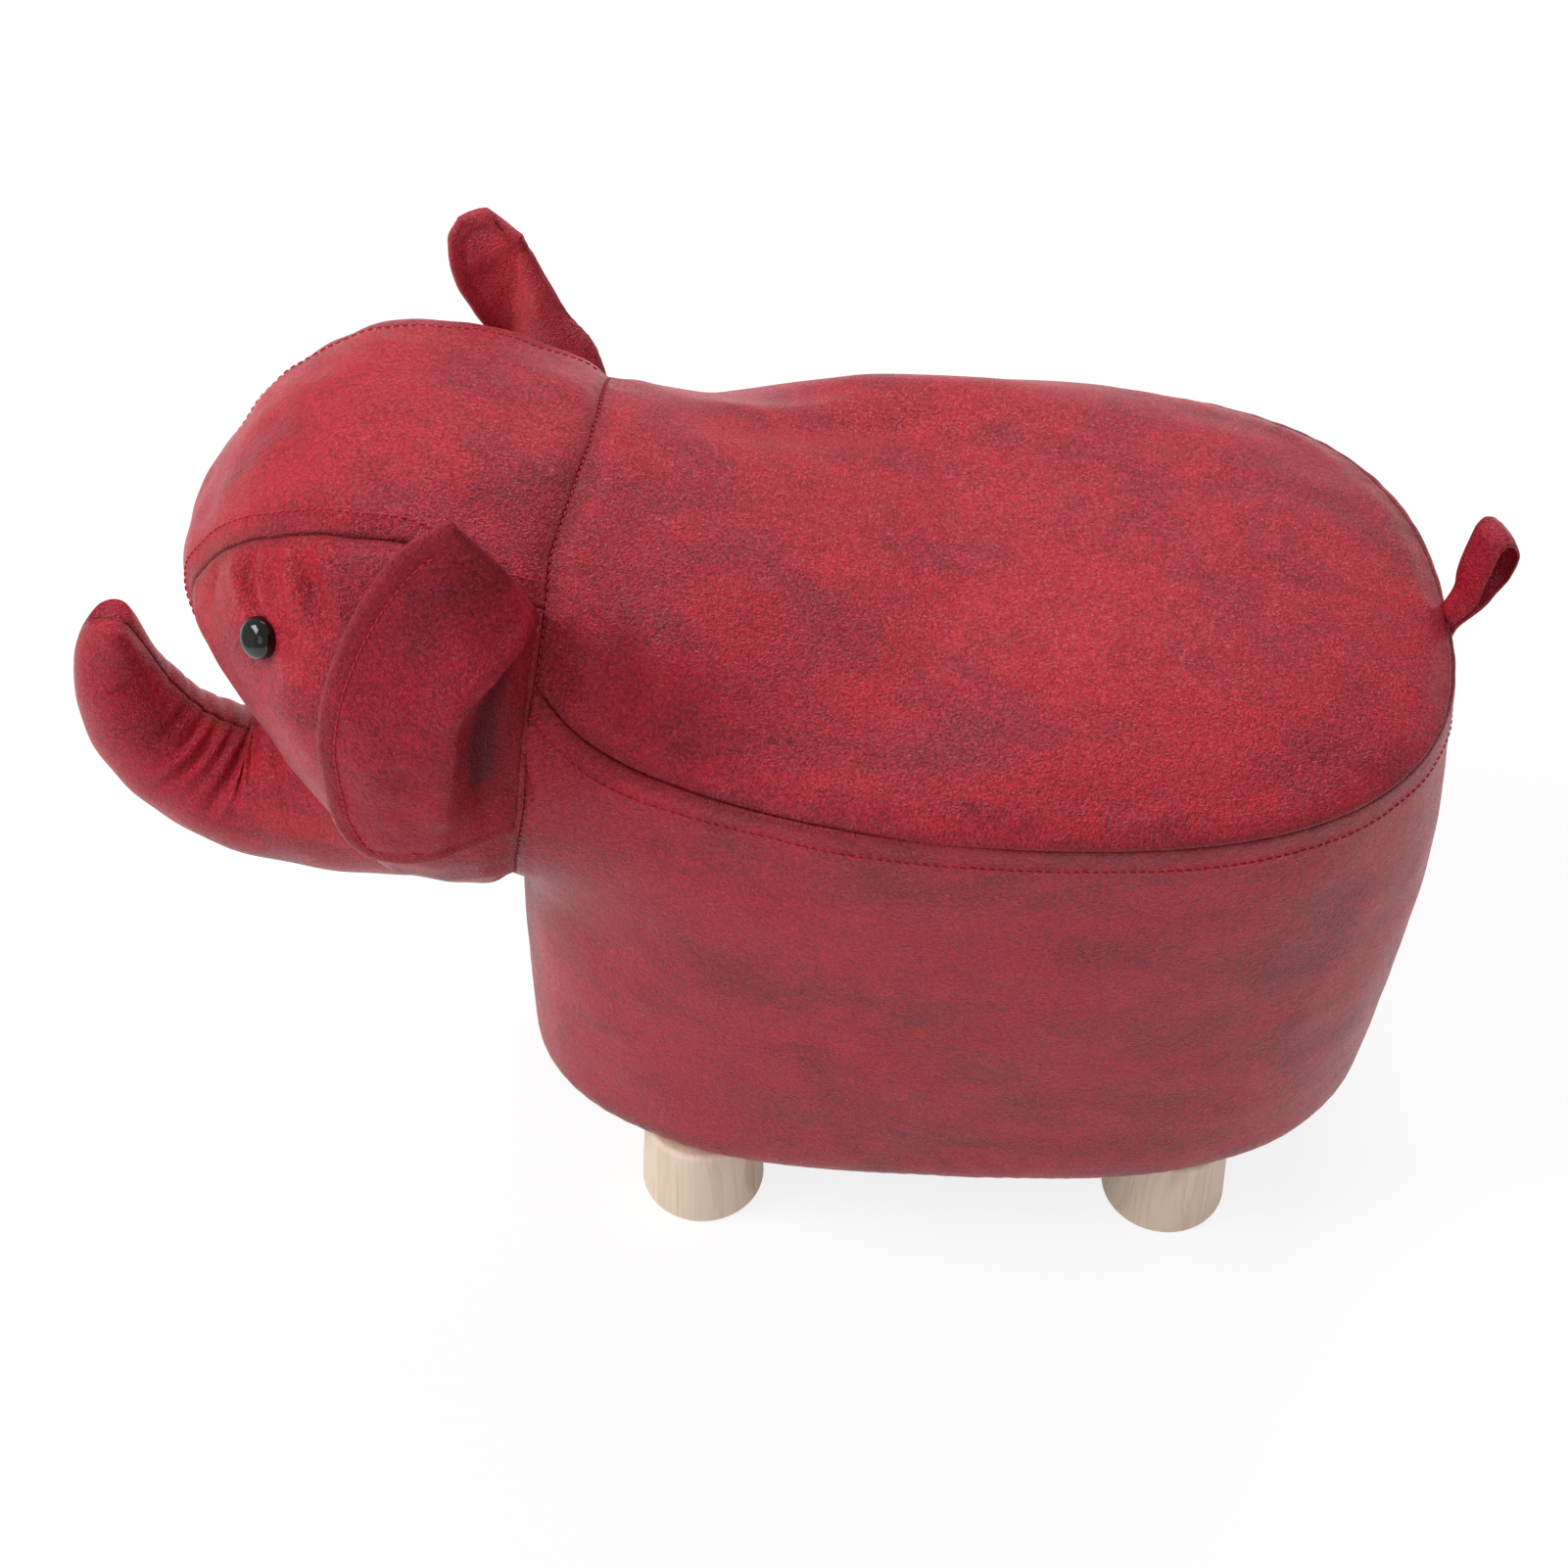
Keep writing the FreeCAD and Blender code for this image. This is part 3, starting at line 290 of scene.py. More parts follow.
TUBE = {
    "half_width": along_tube(mix(RING_HALF_WIDTH, ROOT_HALF_WIDTH, NECK_SHARES) + neck_swell,
                             RING_HALF_WIDTH * np.array(HEAD_WIDTHS)),
    "half_height": along_tube(mix(RING_HALF_HEIGHT, ROOT_HALF_HEIGHT, NECK_SHARES),
                              RING_HALF_HEIGHT * np.array(HEAD_HEIGHTS)),
    "low": along_tube(NECK_SHARES * 0 + 1, HEAD_LOWS),
    "wrap": along_tube(RING_WRAP * (1 - NECK_SHARES), RING_WRAP * np.array(HEAD_WRAPS)),
    "roundness": np.where(ahead < 0, mix(RING_ROUNDNESS, ROOT_ROUNDNESS, -neck_share), RING_ROUNDNESS),
    "lean": np.radians(np.where(ahead < 0, RING_LEAN * (1 + neck_share), mix(RING_LEAN, NOSE_LEAN, head_share))),
    "height": np.where(ahead < 0, NECK_HEIGHT + ROOT_DROP * ahead / NECK_LENGTH,
                       mix(NECK_HEIGHT, NOSE_HEIGHT, head_share)
                       + HEAD_ARCH * np.sin(math.pi * np.clip(head_share, 0, 1))),
}
# The neck seam bows forward on the near side: degrees round the neck from the far side, then millimetres
NECK_BOW = ((-90, 0), (0, 0), (80, 0), (90, 1), (100, 3.2), (110, 5.5), (120, 8.0), (130, 8.2), (140, 8.8), (150, 9.5),
            (160, 9.5), (170, 9.1), (180, 8), (190, 7.3), (200, 6), (210, 3), (220, 0), (270, 0))


def tube_value(word, at):
    return np.interp(at, ahead, TUBE[word])


def neck_bow(angle):
    return table_at(NECK_BOW, (np.degrees(angle) + 90) % 360 - 90)


def ring_station(at, angle):
    """A station told from the straight neck ring, with the seam's bow taken off."""
    return at - neck_bow(angle) * np.exp(-(at / 45) ** 2)


def tube_point(at, angle):
    at, angle = np.broadcast_arrays(np.asarray(at, float), np.asarray(angle, float))
    own = ring_station(at, angle)
    power = 2 / tube_value("roundness", own)
    c, s = np.cos(angle), np.sin(angle)
    across = squared(c, power) * tube_value("half_width", own)
    up = squared(s, power) * tube_value("half_height", own)
    up = np.where(up < 0, up * tube_value("low", own), up)
    lean = tube_value("lean", at)
    back = tube_value("wrap", at) * (across / np.maximum(tube_value("half_width", own), 1e-6)) ** 2
    height = tube_value("height", at) + up * np.cos(lean)
    return np.stack([NECK_STATION - at + up * np.sin(lean) + back, across, height], -1)


def tube_level(p):
    """Rough distance outside the head and neck tube, and how far ahead of the neck ring."""
    x, y, z = p[..., 0], p[..., 1], p[..., 2]
    at = np.clip(NECK_STATION - x, -NECK_LENGTH, HEAD_LENGTH)
    for _ in range(9):
        lean = tube_value("lean", at)
        up = (z - tube_value("height", at)) / np.cos(lean)
        wide = np.maximum(tube_value("half_width", at), 8)
        back = tube_value("wrap", at) * np.minimum(np.abs(y) / wide, 1.3) ** 2
        at = np.clip(NECK_STATION - x + up * np.sin(lean) + back, -NECK_LENGTH * 1.02, HEAD_LENGTH)
    own = at
    for _ in range(2):
        tall, wide = [np.maximum(tube_value(word, own), 8) for word in ("half_height", "half_width")]
        own = ring_station(at, np.arctan2(up / tall, y / wide))
    half_height = np.maximum(tube_value("half_height", own) * np.where(up < 0, tube_value("low", own), 1), 1)
    half_width = np.maximum(tube_value("half_width", own), 1)
    power = tube_value("roundness", own)
    level = ((np.abs(y) / half_width) ** power + (np.abs(up) / half_height) ** power) ** (1 / power)
    return np.hypot(y, up) * (1 - 1 / np.maximum(level, 1e-6)), at


NECK_SOFTNESS, SKIN_REACH, SEAM_REACH = 20.0, 420.0, 300.0


def torso_level(p):
    """Body and neck run into each other with a soft hollow between them."""
    body = body_level(p)
    neck, at = tube_level(p)
    softness = mix(NECK_SOFTNESS, 3, ease(-at, 110, 182))
    neck = mix(neck, 60, ease(-at, 182, 189.9))
    share = np.clip(0.5 + 0.5 * (neck - body) / softness, 0, 1)
    return mix(neck, body, share) - softness * share * (1 - share)


HEART = np.array((89.5, 0.0, 200.0))


def skin_at(ways):
    """Points of the torso's skin seen from its heart in the given directions."""
    def spots(far):
        return HEART + ways * far[..., None]

    near, far = np.zeros(ways.shape[:-1]), np.full(ways.shape[:-1], SKIN_REACH)
    return spots(halved(lambda reach: torso_level(spots(reach)) < 0, near, far, 24))


# Seat seam: degrees round the seat from the tail, then height; the near side is measured, the far side follows it

JOIN_TURN = 150.7
RISE_TO_NECK = ((128.3, 307.2), (138, 309.7), (141.1, 312), (144.1, 316.3), (146.2, 321), (148, 327.2),
                (JOIN_TURN, JOIN_HEIGHT))
NEAR_SEAM = ((0, 306), (19.3, 305.3), (30, 303.8), (43.8, 302.8), (66.2, 303.0), (79.7, 303), (96.5, 304.9),
             (112.2, 306.4)) + RISE_TO_NECK
FAR_SEAM = ((0, 306), (12.4, 307), (23.7, 308.4), (32.2, 307.4), (41.8, 310), (46.8, 310), (66.2, 306),
            (96.5, 305)) + RISE_TO_NECK
ring_angles = np.radians(np.linspace(-90, 270, 721))
neck_ring = tube_point(neck_bow(ring_angles), ring_angles)
turns_of_ring = np.degrees(np.arctan2(neck_ring[:, 1], neck_ring[:, 0] - HEART[0]))
near_join = 360 + int(np.argmin(np.abs(neck_ring[360:541, 2] - JOIN_HEIGHT)))
far_join = 180 + int(np.argmin(np.abs(neck_ring[180:360, 2] - JOIN_HEIGHT)))


def seam_line():
    """The seat seam from the near end of the neck seam round the tail to its far end."""
    near_turn, far_turn = turns_of_ring[near_join], turns_of_ring[far_join]
    turns = np.radians(np.linspace(near_turn, far_turn, 900))
    degrees = np.degrees(turns)
    near, far = [through(*np.array(table).T, np.abs(degrees) * JOIN_TURN / abs(end))
                 for table, end in ((NEAR_SEAM, near_turn), (FAR_SEAM, far_turn))]
    height = np.where(degrees < 0, near, far)
    ways = np.stack([np.cos(turns), np.sin(turns)], -1)

    def level_spots(far):
        return np.stack([HEART[0] + ways[:, 0] * far, ways[:, 1] * far, height], -1)

    near, far = np.zeros(len(turns)), np.full(len(turns), SEAM_REACH)
    line = level_spots(halved(lambda reach: torso_level(level_spots(reach)) < 0, near, far, 26))
    run = lengths_along(line)
    fade_near, fade_far = np.exp(-run / 12)[:, None], np.exp(-(run[-1] - run) / 12)[:, None]
    line = line + fade_near * (neck_ring[near_join] - line[3]) + fade_far * (neck_ring[far_join] - line[-4])
    line[:3], line[-3:] = neck_ring[near_join], neck_ring[far_join]
    return smoothed(line, 5)


seat_seam = seam_line()
ring_over = neck_ring[far_join:near_join + 1]
ring_under = np.concatenate([neck_ring[near_join:], neck_ring[1:far_join + 1]])


# Meshes

def link(name, mesh):
    piece = bpy.data.objects.new(name, mesh)
    bpy.context.scene.collection.objects.link(piece)
    return piece


def mesh_of(name, points, faces, marks=None):
    """Smooth mesh in metres from points in millimetres, with one value per point for each mark."""
    mesh = bpy.data.meshes.new(name)
    mesh.from_pydata((points * MM).tolist(), [], faces.tolist() if hasattr(faces, "tolist") else faces)
    mesh.update()
    mesh.shade_smooth()
    for word, values in (marks or {}).items():
        layer = mesh.attributes.new(word, "FLOAT", "POINT")
        layer.data.foreach_set("value", np.asarray(values, np.float32).ravel())
    return link(name, mesh)


def grid_faces(rows, columns, round_columns=False, start=0, flip=False):
    r = np.arange(rows - 1)[:, None] * columns
    c = np.arange(columns if round_columns else columns - 1)[None]
    n = (c + 1) % columns
    quads = np.stack([r + c, r + n, r + columns + n, r + columns + c], -1).reshape(-1, 4)
    return (quads[:, ::-1] if flip else quads) + start


def two_sided(rows, columns, round_columns=False):
    """Faces of a grid and of a second one behind it, which look away from each other."""
    behind = grid_faces(rows, columns, round_columns, start=rows * columns, flip=True)
    return np.concatenate([grid_faces(rows, columns, round_columns), behind])


def face_values(mesh, word, size):
    values = np.empty(len(mesh.polygons) * size)
    mesh.polygons.foreach_get(word, values)
    return values.reshape(-1, size)


def outward(piece, inside_point):
    """Turns the mesh round if its faces look at a point inside the piece."""
    mesh = piece.data
    away = face_values(mesh, "center", 3) - np.array(inside_point) * MM
    aim = (away * face_values(mesh, "normal", 3)).sum(1) * face_values(mesh, "area", 1)[:, 0]
    if aim.sum() < 0:
        mesh.flip_normals()
    return piece


def sideways(piece, side, count=None):
    """Turns the mesh round if its first faces look away from its side, 1 for the far side and -1 for the near side."""
    if (face_values(piece.data, "normal", 3)[:count, 1] * side).sum() < 0:
        piece.data.flip_normals()
    return piece


def seam_roll(distance, depth, width):
    """How far a panel's skin turns in beside its seam."""
    share = np.clip(1 - distance / width, 0, 1)
    return -depth * (1 - np.sqrt(np.clip(1 - share ** 2, 0, 1)))


def puckers(along, distance, seed, reach=10.0):
    """Small gathers that a seam leaves in the skin beside it."""
    draw = np.random.default_rng(seed)
    total = np.zeros(np.broadcast(along, distance).shape)
    for _ in range(6):
        wave = 2 * math.pi / draw.uniform(9, 26)
        beat = np.sin(along * wave + draw.uniform(0, 6.3))
        total = total + beat * (0.5 + 0.5 * np.sin(along / draw.uniform(40, 90) + draw.uniform(0, 6)))
    return total / 3 * np.exp(-(distance / reach) ** 1.4) * (1 - np.exp(-(distance / 2.0)))


# Creases and dents of the torso: place, its direction, length, width and depth in millimetres

TORSO_FOLDS = (
    ((-49, -93, 338), (0.0, -0.6, -0.8), 15, 5.5, -2.4), ((-33, -90, 341), (0.1, -0.6, -0.8), 22, 8, 1.5),
    ((-64, -90, 344), (-0.1, -0.6, -0.8), 24, 7, 1.4), ((-12, 40, 356), (1.0, 0.45, -0.15), 46, 9, -2.0),
    ((14, 76, 343), (1.0, 0.5, -0.25), 50, 9, 2.2), ((30, 62, 340), (1.0, 0.4, -0.2), 60, 8, -2.0),
    ((52, 100, 326), (1.0, 0.28, -0.2), 46, 8, -1.8), ((90, 112, 320), (1.0, 0.15, 0.0), 44, 8, 1.4),
    ((173, -97, 325), (0.5, -0.6, 0.0), 13, 8, -1.2), ((108, -120, 318), (1.0, 0.1, 0.0), 30, 12, 1.5),
    ((128, -128, 315), (1.0, -0.5, 0.0), 17, 5, -1.1), ((146, -130, 314), (1.0, 0.6, 0.0), 15, 5, -1.0),
    ((196, -122, 313), (0.8, 0.35, 0.0), 30, 7, -1.2), ((232, 96, 312), (0.7, -0.6, 0.0), 26, 7, 1.4),
    ((252, 78, 310), (0.6, -0.7, 0.0), 22, 7, -1.4), ((214, 108, 312), (0.8, -0.4, 0.0), 20, 7, -1.2),
)


def folds(points, table):
    total = np.zeros(points.shape[:-1])
    for place, way, length, width, depth in table:
        way = np.array(way, float) / np.linalg.norm(way)
        off = points - np.array(place, float)
        along = off @ way
        aside = np.sqrt(np.maximum((off ** 2).sum(-1) - along ** 2, 0))
        total = total + depth * np.exp(-(along / length) ** 2 - (aside / width) ** 2)
    return total


def torso_life(points):
    """Slack and fullness of the stretched cover away from its seams."""
    return folds(points, TORSO_FOLDS) + 0.55 * ripple(points, 95, 3) + 0.22 * ripple(points, 38, 4)


SEAM_DEPTH, SEAM_ROLL = 1.1, 2.0

# Seat panel: a round grid from the seat seam and the top of the neck seam up to its middle

SEAT_REACH = 165.0
seat_edge = even_line(np.concatenate([seat_seam, ring_over[1:]]), 461)[:-1]
seat_steps = steps_from_edge(SEAT_REACH, 0.5, 1.16, 2.3)
edge_ways = unit(seat_edge - HEART)
shares = (seat_steps / seat_steps[-1])[:-1, None, None]
seat_grid = skin_at(between_ways(edge_ways[None], np.array((0.0, 0.0, 1.0)), shares))
seat_grid[0] = seat_edge
seat_grid = relaxed(seat_grid, 5)
seat_off = lengths_along(seat_grid)
seat_along = lengths_along(np.concatenate([seat_edge, seat_edge[:1]]))[:-1][None]
seat_out = grid_normals(seat_grid, True)
seat_out = towards(seat_out, seat_out[30:, :, 2].mean())
seat_push = seam_roll(seat_off, SEAM_DEPTH, SEAM_ROLL) + 0.5 * puckers(seat_along, seat_off, 11)
seat_push = seat_push + (1.1 * bell(seat_off, 13, 11) + torso_life(seat_grid)) * ease(seat_off, 0.5, 14)
seat_points = seat_grid + seat_out * seat_push[..., None]
crown_middle = seat_points[-1].mean(0)
rows, columns = seat_points.shape[:2]
last_row = (rows - 1) * columns + np.arange(columns)
cap = np.stack([last_row, np.roll(last_row, -1), np.full(columns, rows * columns)], -1)
seat_faces = grid_faces(rows, columns, True).tolist() + cap.tolist()
seat_piece = mesh_of("seat_panel", np.concatenate([seat_points.reshape(-1, 3), crown_middle[None]]), seat_faces,
                     {"seam": np.append(seat_off.ravel(), SEAT_REACH)})
outward(seat_piece, HEART)

# Side panel: from the seat seam and the underside of the neck seam down to the hem and in under the belly

side_edge = even_line(np.concatenate([seat_seam[::-1], ring_under[1:]]), 481)[:-1]
hem_turns = np.linspace(0, 2 * math.pi, 2881)
hem_front, hem_rear, hem_half = [reach - BELLY_ROUND for reach in (BASE_FRONT, BASE_REAR, BASE_HALF)]
SIDE_REACH, SIDE_STITCH_OFF, FAR_FROM_SEAM = 258.0, 13.0, 200.0


def hem_oval(inset):
    c, s = np.cos(hem_turns), np.sin(hem_turns)
    power = np.where(c > 0, 2 / TAIL_ROUNDNESS, 2 / BASE_ROUNDNESS)
    reach = np.where(c > 0, hem_rear, hem_front) - inset
    x = STATION + squared(c, power) * reach
    return np.stack([x, squared(s, power) * (hem_half - inset), np.full_like(x, BELLY_LOW)], -1)


hem_line = hem_oval(0)
hem_run = lengths_along(hem_line)
side_run = lengths_along(np.concatenate([side_edge, side_edge[:1]]))
tail_at = int(np.argmax(side_edge[:, 0]))
front_at = int(np.argmin(np.where(side_edge[:, 2] < 200, np.abs(side_edge[:, 1]), 1e9)))
half_hem = hem_run[-1] / 2
own_run = side_run[:-1]
from_tail = (own_run - own_run[tail_at]) % side_run[-1]
to_front = np.interp(from_tail, [0, from_tail[front_at], side_run[-1]], [0, half_hem, hem_run[-1]])
if side_edge[(tail_at + 20) % len(side_edge), 1] < 0:
    to_front = hem_run[-1] - to_front
hem_edge = spots_at(to_front, hem_run, hem_line)
side_steps = both_edges(SIDE_REACH, 0.5, 1.16, 2.7)
shares = (side_steps / side_steps[-1])[:, None, None]
side_grid = skin_at(between_ways(unit(side_edge - HEART)[None], unit(hem_edge - HEART)[None], shares))
side_grid[0], side_grid[-1] = side_edge, hem_edge
side_grid = relaxed(side_grid, 8)
side_off = lengths_along(side_grid)
side_out = grid_normals(side_grid, True)
side_out = towards(side_out, ((side_grid - HEART)[10:] * side_out[10:]).sum())
hem_off = side_off[-1][None] - side_off
side_push = seam_roll(side_off, SEAM_DEPTH, SEAM_ROLL) + 0.45 * puckers(own_run[None], side_off, 12)
side_push = side_push + torso_life(side_grid) * ease(side_off, 0.5, 14) * ease(hem_off, 4, 30)
side_push = side_push + 0.2 * bell(side_off, 6, 4.5) - 0.10 * bell(side_off, SIDE_STITCH_OFF, 1.6)
side_push = side_push - 0.9 * np.abs(puckers(own_run[None] * 0.7, hem_off, 14, 22.0)) * ease(hem_off, 0, 5)
side_points = side_grid + side_out * side_push[..., None]
middle = np.array((STATION - 20, 0, BELLY_LOW))
tucks = []
for inset in (1.5, 5.0, 10.0, 16.0, 22.0):
    drawn = side_points[-1] + unit(middle - side_points[-1]) * inset
    drawn[:, 2] = BELLY_LOW + 0.1 - 0.05 * math.sqrt(inset) + 0.12 * np.sin(own_run / 3.1) * (inset > 4)
    tucks.append(drawn)
side_points = np.concatenate([side_points, np.array(tucks)])
side_marks = np.concatenate([side_off, np.full((len(tucks), side_off.shape[1]), FAR_FROM_SEAM)])
side_piece = mesh_of("side_panel", side_points.reshape(-1, 3), grid_faces(len(side_points), side_points.shape[1], True),
                     {"seam": side_marks.ravel()})
outward(side_piece, HEART)


# Head panels: shares of the head's length and turns round it, split along the crown seam

CROWN_SEAM = ((-60, 80), (-8.8, 75), (12, 71.3), (29.4, 69.0), (51.5, 68.6), (70.5, 66.2), (86.7, 62.3), (104.4, 55.8),
              (120.5, 48.8), (135.5, 42.2), (169.3, 37.8))
HEAD_FOLDS = (
    ((-194.4, -70, 367), (0.0, -0.75, -0.65), 15, 3.4, -5.2), ((-187, -73, 370), (0.0, -0.75, -0.65), 13, 3.6, 2.4),
    ((-202, -66, 365), (0.0, -0.75, -0.65), 12, 3.4, 1.9), ((-168, -81.5, 376.5), (0.3, -0.84, -0.45), 17, 4.4, -5.0),
    ((-177, -77, 378), (0.3, -0.84, -0.45), 15, 4.0, 2.6), ((-159.5, -84, 377.5), (0.4, -0.8, -0.45), 14, 4.0, 2.3),
    ((-181.5, -73, 375.5), (0.1, -0.8, -0.6), 10, 2.8, -1.3), ((-214, -54, 354), (-0.2, -0.3, -0.9), 11, 3.2, -1.7),
    ((-205, 40, 380), (0.0, 1.0, 0.2), 16, 6, 1.0), ((-196, 78, 372), (0.1, 0.0, -1.0), 14, 3.6, -2.4),
)
head_stations = HEAD_LENGTH * (1 - (1 - np.linspace(0, 1, 118)) ** 2)
head_stations = np.concatenate([[0, 0.6, 1.3], head_stations[head_stations > 2.2]])
HEAD_HEART = np.array((-160.0, 0.0, 290.0))
EYE_PLACE, EYE_ASIDE = (-190.7, 351.9), 86.8


def crown_angle(at, side):
    """Turn of the crown seam round each section, on the far side (1) or the near side (-1)."""
    def on_side(angle):
        return angle if side > 0 else math.pi - angle

    def wider(angle):
        spot = tube_point(at, on_side(angle))
        return np.abs(spot[..., 1]) > table_at(CROWN_SEAM, NECK_STATION - spot[..., 0])

    return on_side(halved(wider, np.zeros_like(at), np.full_like(at, math.pi / 2), 30))


TRUNK_STATIONS = ((-0.44, -0.722, 1.0), (-0.80, -0.883, 0.84), (-1.16, -0.985, 0.68), (-1.443, -1.010, 0.545),
                  (-1.636, -0.892, 0.50), (-1.762, -0.775, 0.452), (-1.868, -0.580, 0.412), (-1.912, -0.40, 0.365),
                  (-1.918, -0.235, 0.31), (-1.905, -0.10, 0.25), (-1.890, -0.03, 0.15))
TRUNK_THICKEST, TRUNK_TIP = 62.0, 16.0
spine_marks = np.array([(NECK_STATION + a * RING_HALF_HEIGHT, 0, NECK_HEIGHT + b * RING_HALF_HEIGHT)
                        for a, b, _ in TRUNK_STATIONS])
spine_run = lengths_along(spine_marks)
TRUNK_LENGTH = spine_run[-1]
trunk_at = np.concatenate([np.arange(0, TRUNK_LENGTH - TRUNK_TIP, 1.45),
                           TRUNK_LENGTH - TRUNK_TIP * (1 - np.linspace(0, 1, 14)) ** 1.6])
spine = curve_at(trunk_at, spine_run, spine_marks)
trunk_radius = through(spine_run, [TRUNK_THICKEST * c for _, _, c in TRUNK_STATIONS], trunk_at)
spine, trunk_radius = smoothed(spine), smoothed(trunk_radius)
trunk_radius = trunk_radius * mix(1, 0.9, ease(trunk_at / TRUNK_LENGTH, 0.72, 0.94))


def trunk_level(p):
    """Distance outside the trunk."""
    flat = p.reshape(-1, 3)
    gap = np.sqrt(((flat[:, None] - spine[None]) ** 2).sum(-1)) - trunk_radius[None]
    return gap.min(1).reshape(p.shape[:-1])


def head_panel(name, edge_low, edge_high, count, seed):
    """A panel of the head between two edges, told as turns round each section from the neck seam to the nose."""
    across_shares = np.linspace(0, 1, count)
    across_shares = np.unique(np.concatenate([[0, 0.006, 0.014, 0.024], across_shares[2:-2], [0.976, 0.986, 0.994, 1]]))
    angles = mix(edge_low[:, None], edge_high[:, None], across_shares[None])
    starts = neck_bow(angles[0])
    ats = starts[None] + (HEAD_LENGTH - starts[None]) * (head_stations / HEAD_LENGTH)[:, None]
    grid = tube_point(ats, angles)
    out = grid_normals(grid[:-1], False)
    out = np.concatenate([out, out[-1:]])
    out = towards(out, ((grid - HEAD_HEART) * out).sum())
    from_neck = lengths_along(grid)
    run = lengths_along(np.swapaxes(grid, 0, 1)).T
    from_seam = np.minimum(run, run[:, -1:] - run)
    off = np.minimum(from_seam, from_neck)
    push = seam_roll(off, 1.3, 2.4) + 0.55 * puckers(from_neck, from_seam, seed)
    push = push + 0.45 * puckers(run, from_neck, seed + 1) + 1.6 * bell(from_neck, 12, 12) * ease(from_neck, 0.5, 8)
    life = folds(grid, HEAD_FOLDS) + 0.7 * ripple(grid, 60, 5) + 0.3 * ripple(grid, 26, 6)
    life = life + 0.9 * bell(from_seam, 10, 9)
    for eye_side in (-1, 1):
        from_eye = np.sqrt(((grid - np.array((EYE_PLACE[0], EYE_ASIDE * eye_side, EYE_PLACE[1]))) ** 2).sum(-1))
        life = life - 3.2 * bell(from_eye, 0, 15) + 0.8 * bell(from_eye, 26, 8)
    push = push + life * ease(off, 0.4, 9)
    root = trunk_level(grid)
    push = push + 3.4 * bell(root, 7, 9) * (root > 0) - 7 * ease(-root, 0, 5)
    points = grid + out * push[..., None]
    points[-1] = points[-2].mean(0) * 0.3 + grid[-1] * 0.7
    piece = mesh_of(name, points.reshape(-1, 3), grid_faces(*points.shape[:2]), {"seam": off.ravel()})
    return outward(piece, HEAD_HEART), points


far_seam = crown_angle(head_stations, 1)
near_seam = crown_angle(head_stations, -1)
below = np.full_like(head_stations, 1.5 * math.pi)
crown_piece, crown_points = head_panel("crown_panel", far_seam, near_seam, 150, 21)
near_cheek, _ = head_panel("cheek_near", near_seam, below, 118, 23)
far_cheek, _ = head_panel("cheek_far", below - 2 * math.pi, far_seam, 118, 25)


# Trunk: two halves sewn along the middle, creased where it bends

TRUNK_CREASES = (
    # share of the length, turn round the trunk in degrees from its upper side, reach round it, width and depth
    (0.645, -50, 34, 3.2, 2.4), (0.53, -42, 40, 3.2, 2.4), (0.41, -24, 32, 3.2, 2.0), (0.885, -54, 30, 2.4, 1.3),
    (0.47, -34, 26, 2.6, 1.3), (0.59, -30, 32, 2.4, 1.2), (0.70, -34, 34, 2.6, 1.1), (0.76, -36, 28, 2.4, 0.9),
    (0.34, -22, 34, 3.0, 1.6), (0.27, -26, 30, 3.4, 1.4), (0.50, 24, 40, 3.0, 0.8), (0.57, 16, 44, 3.0, 0.7),
    (0.63, 24, 40, 2.8, 0.8), (0.69, 14, 40, 2.6, 0.6), (0.75, 26, 40, 2.6, 0.6), (0.82, 18, 40, 2.4, 0.5),
)
spine_way = unit(np.gradient(spine, axis=0))
spine_side = np.array((0.0, 1.0, 0.0))
spine_up = unit(np.cross(spine_way, spine_side))
spine_up = towards(spine_up, spine_up[10, 2])


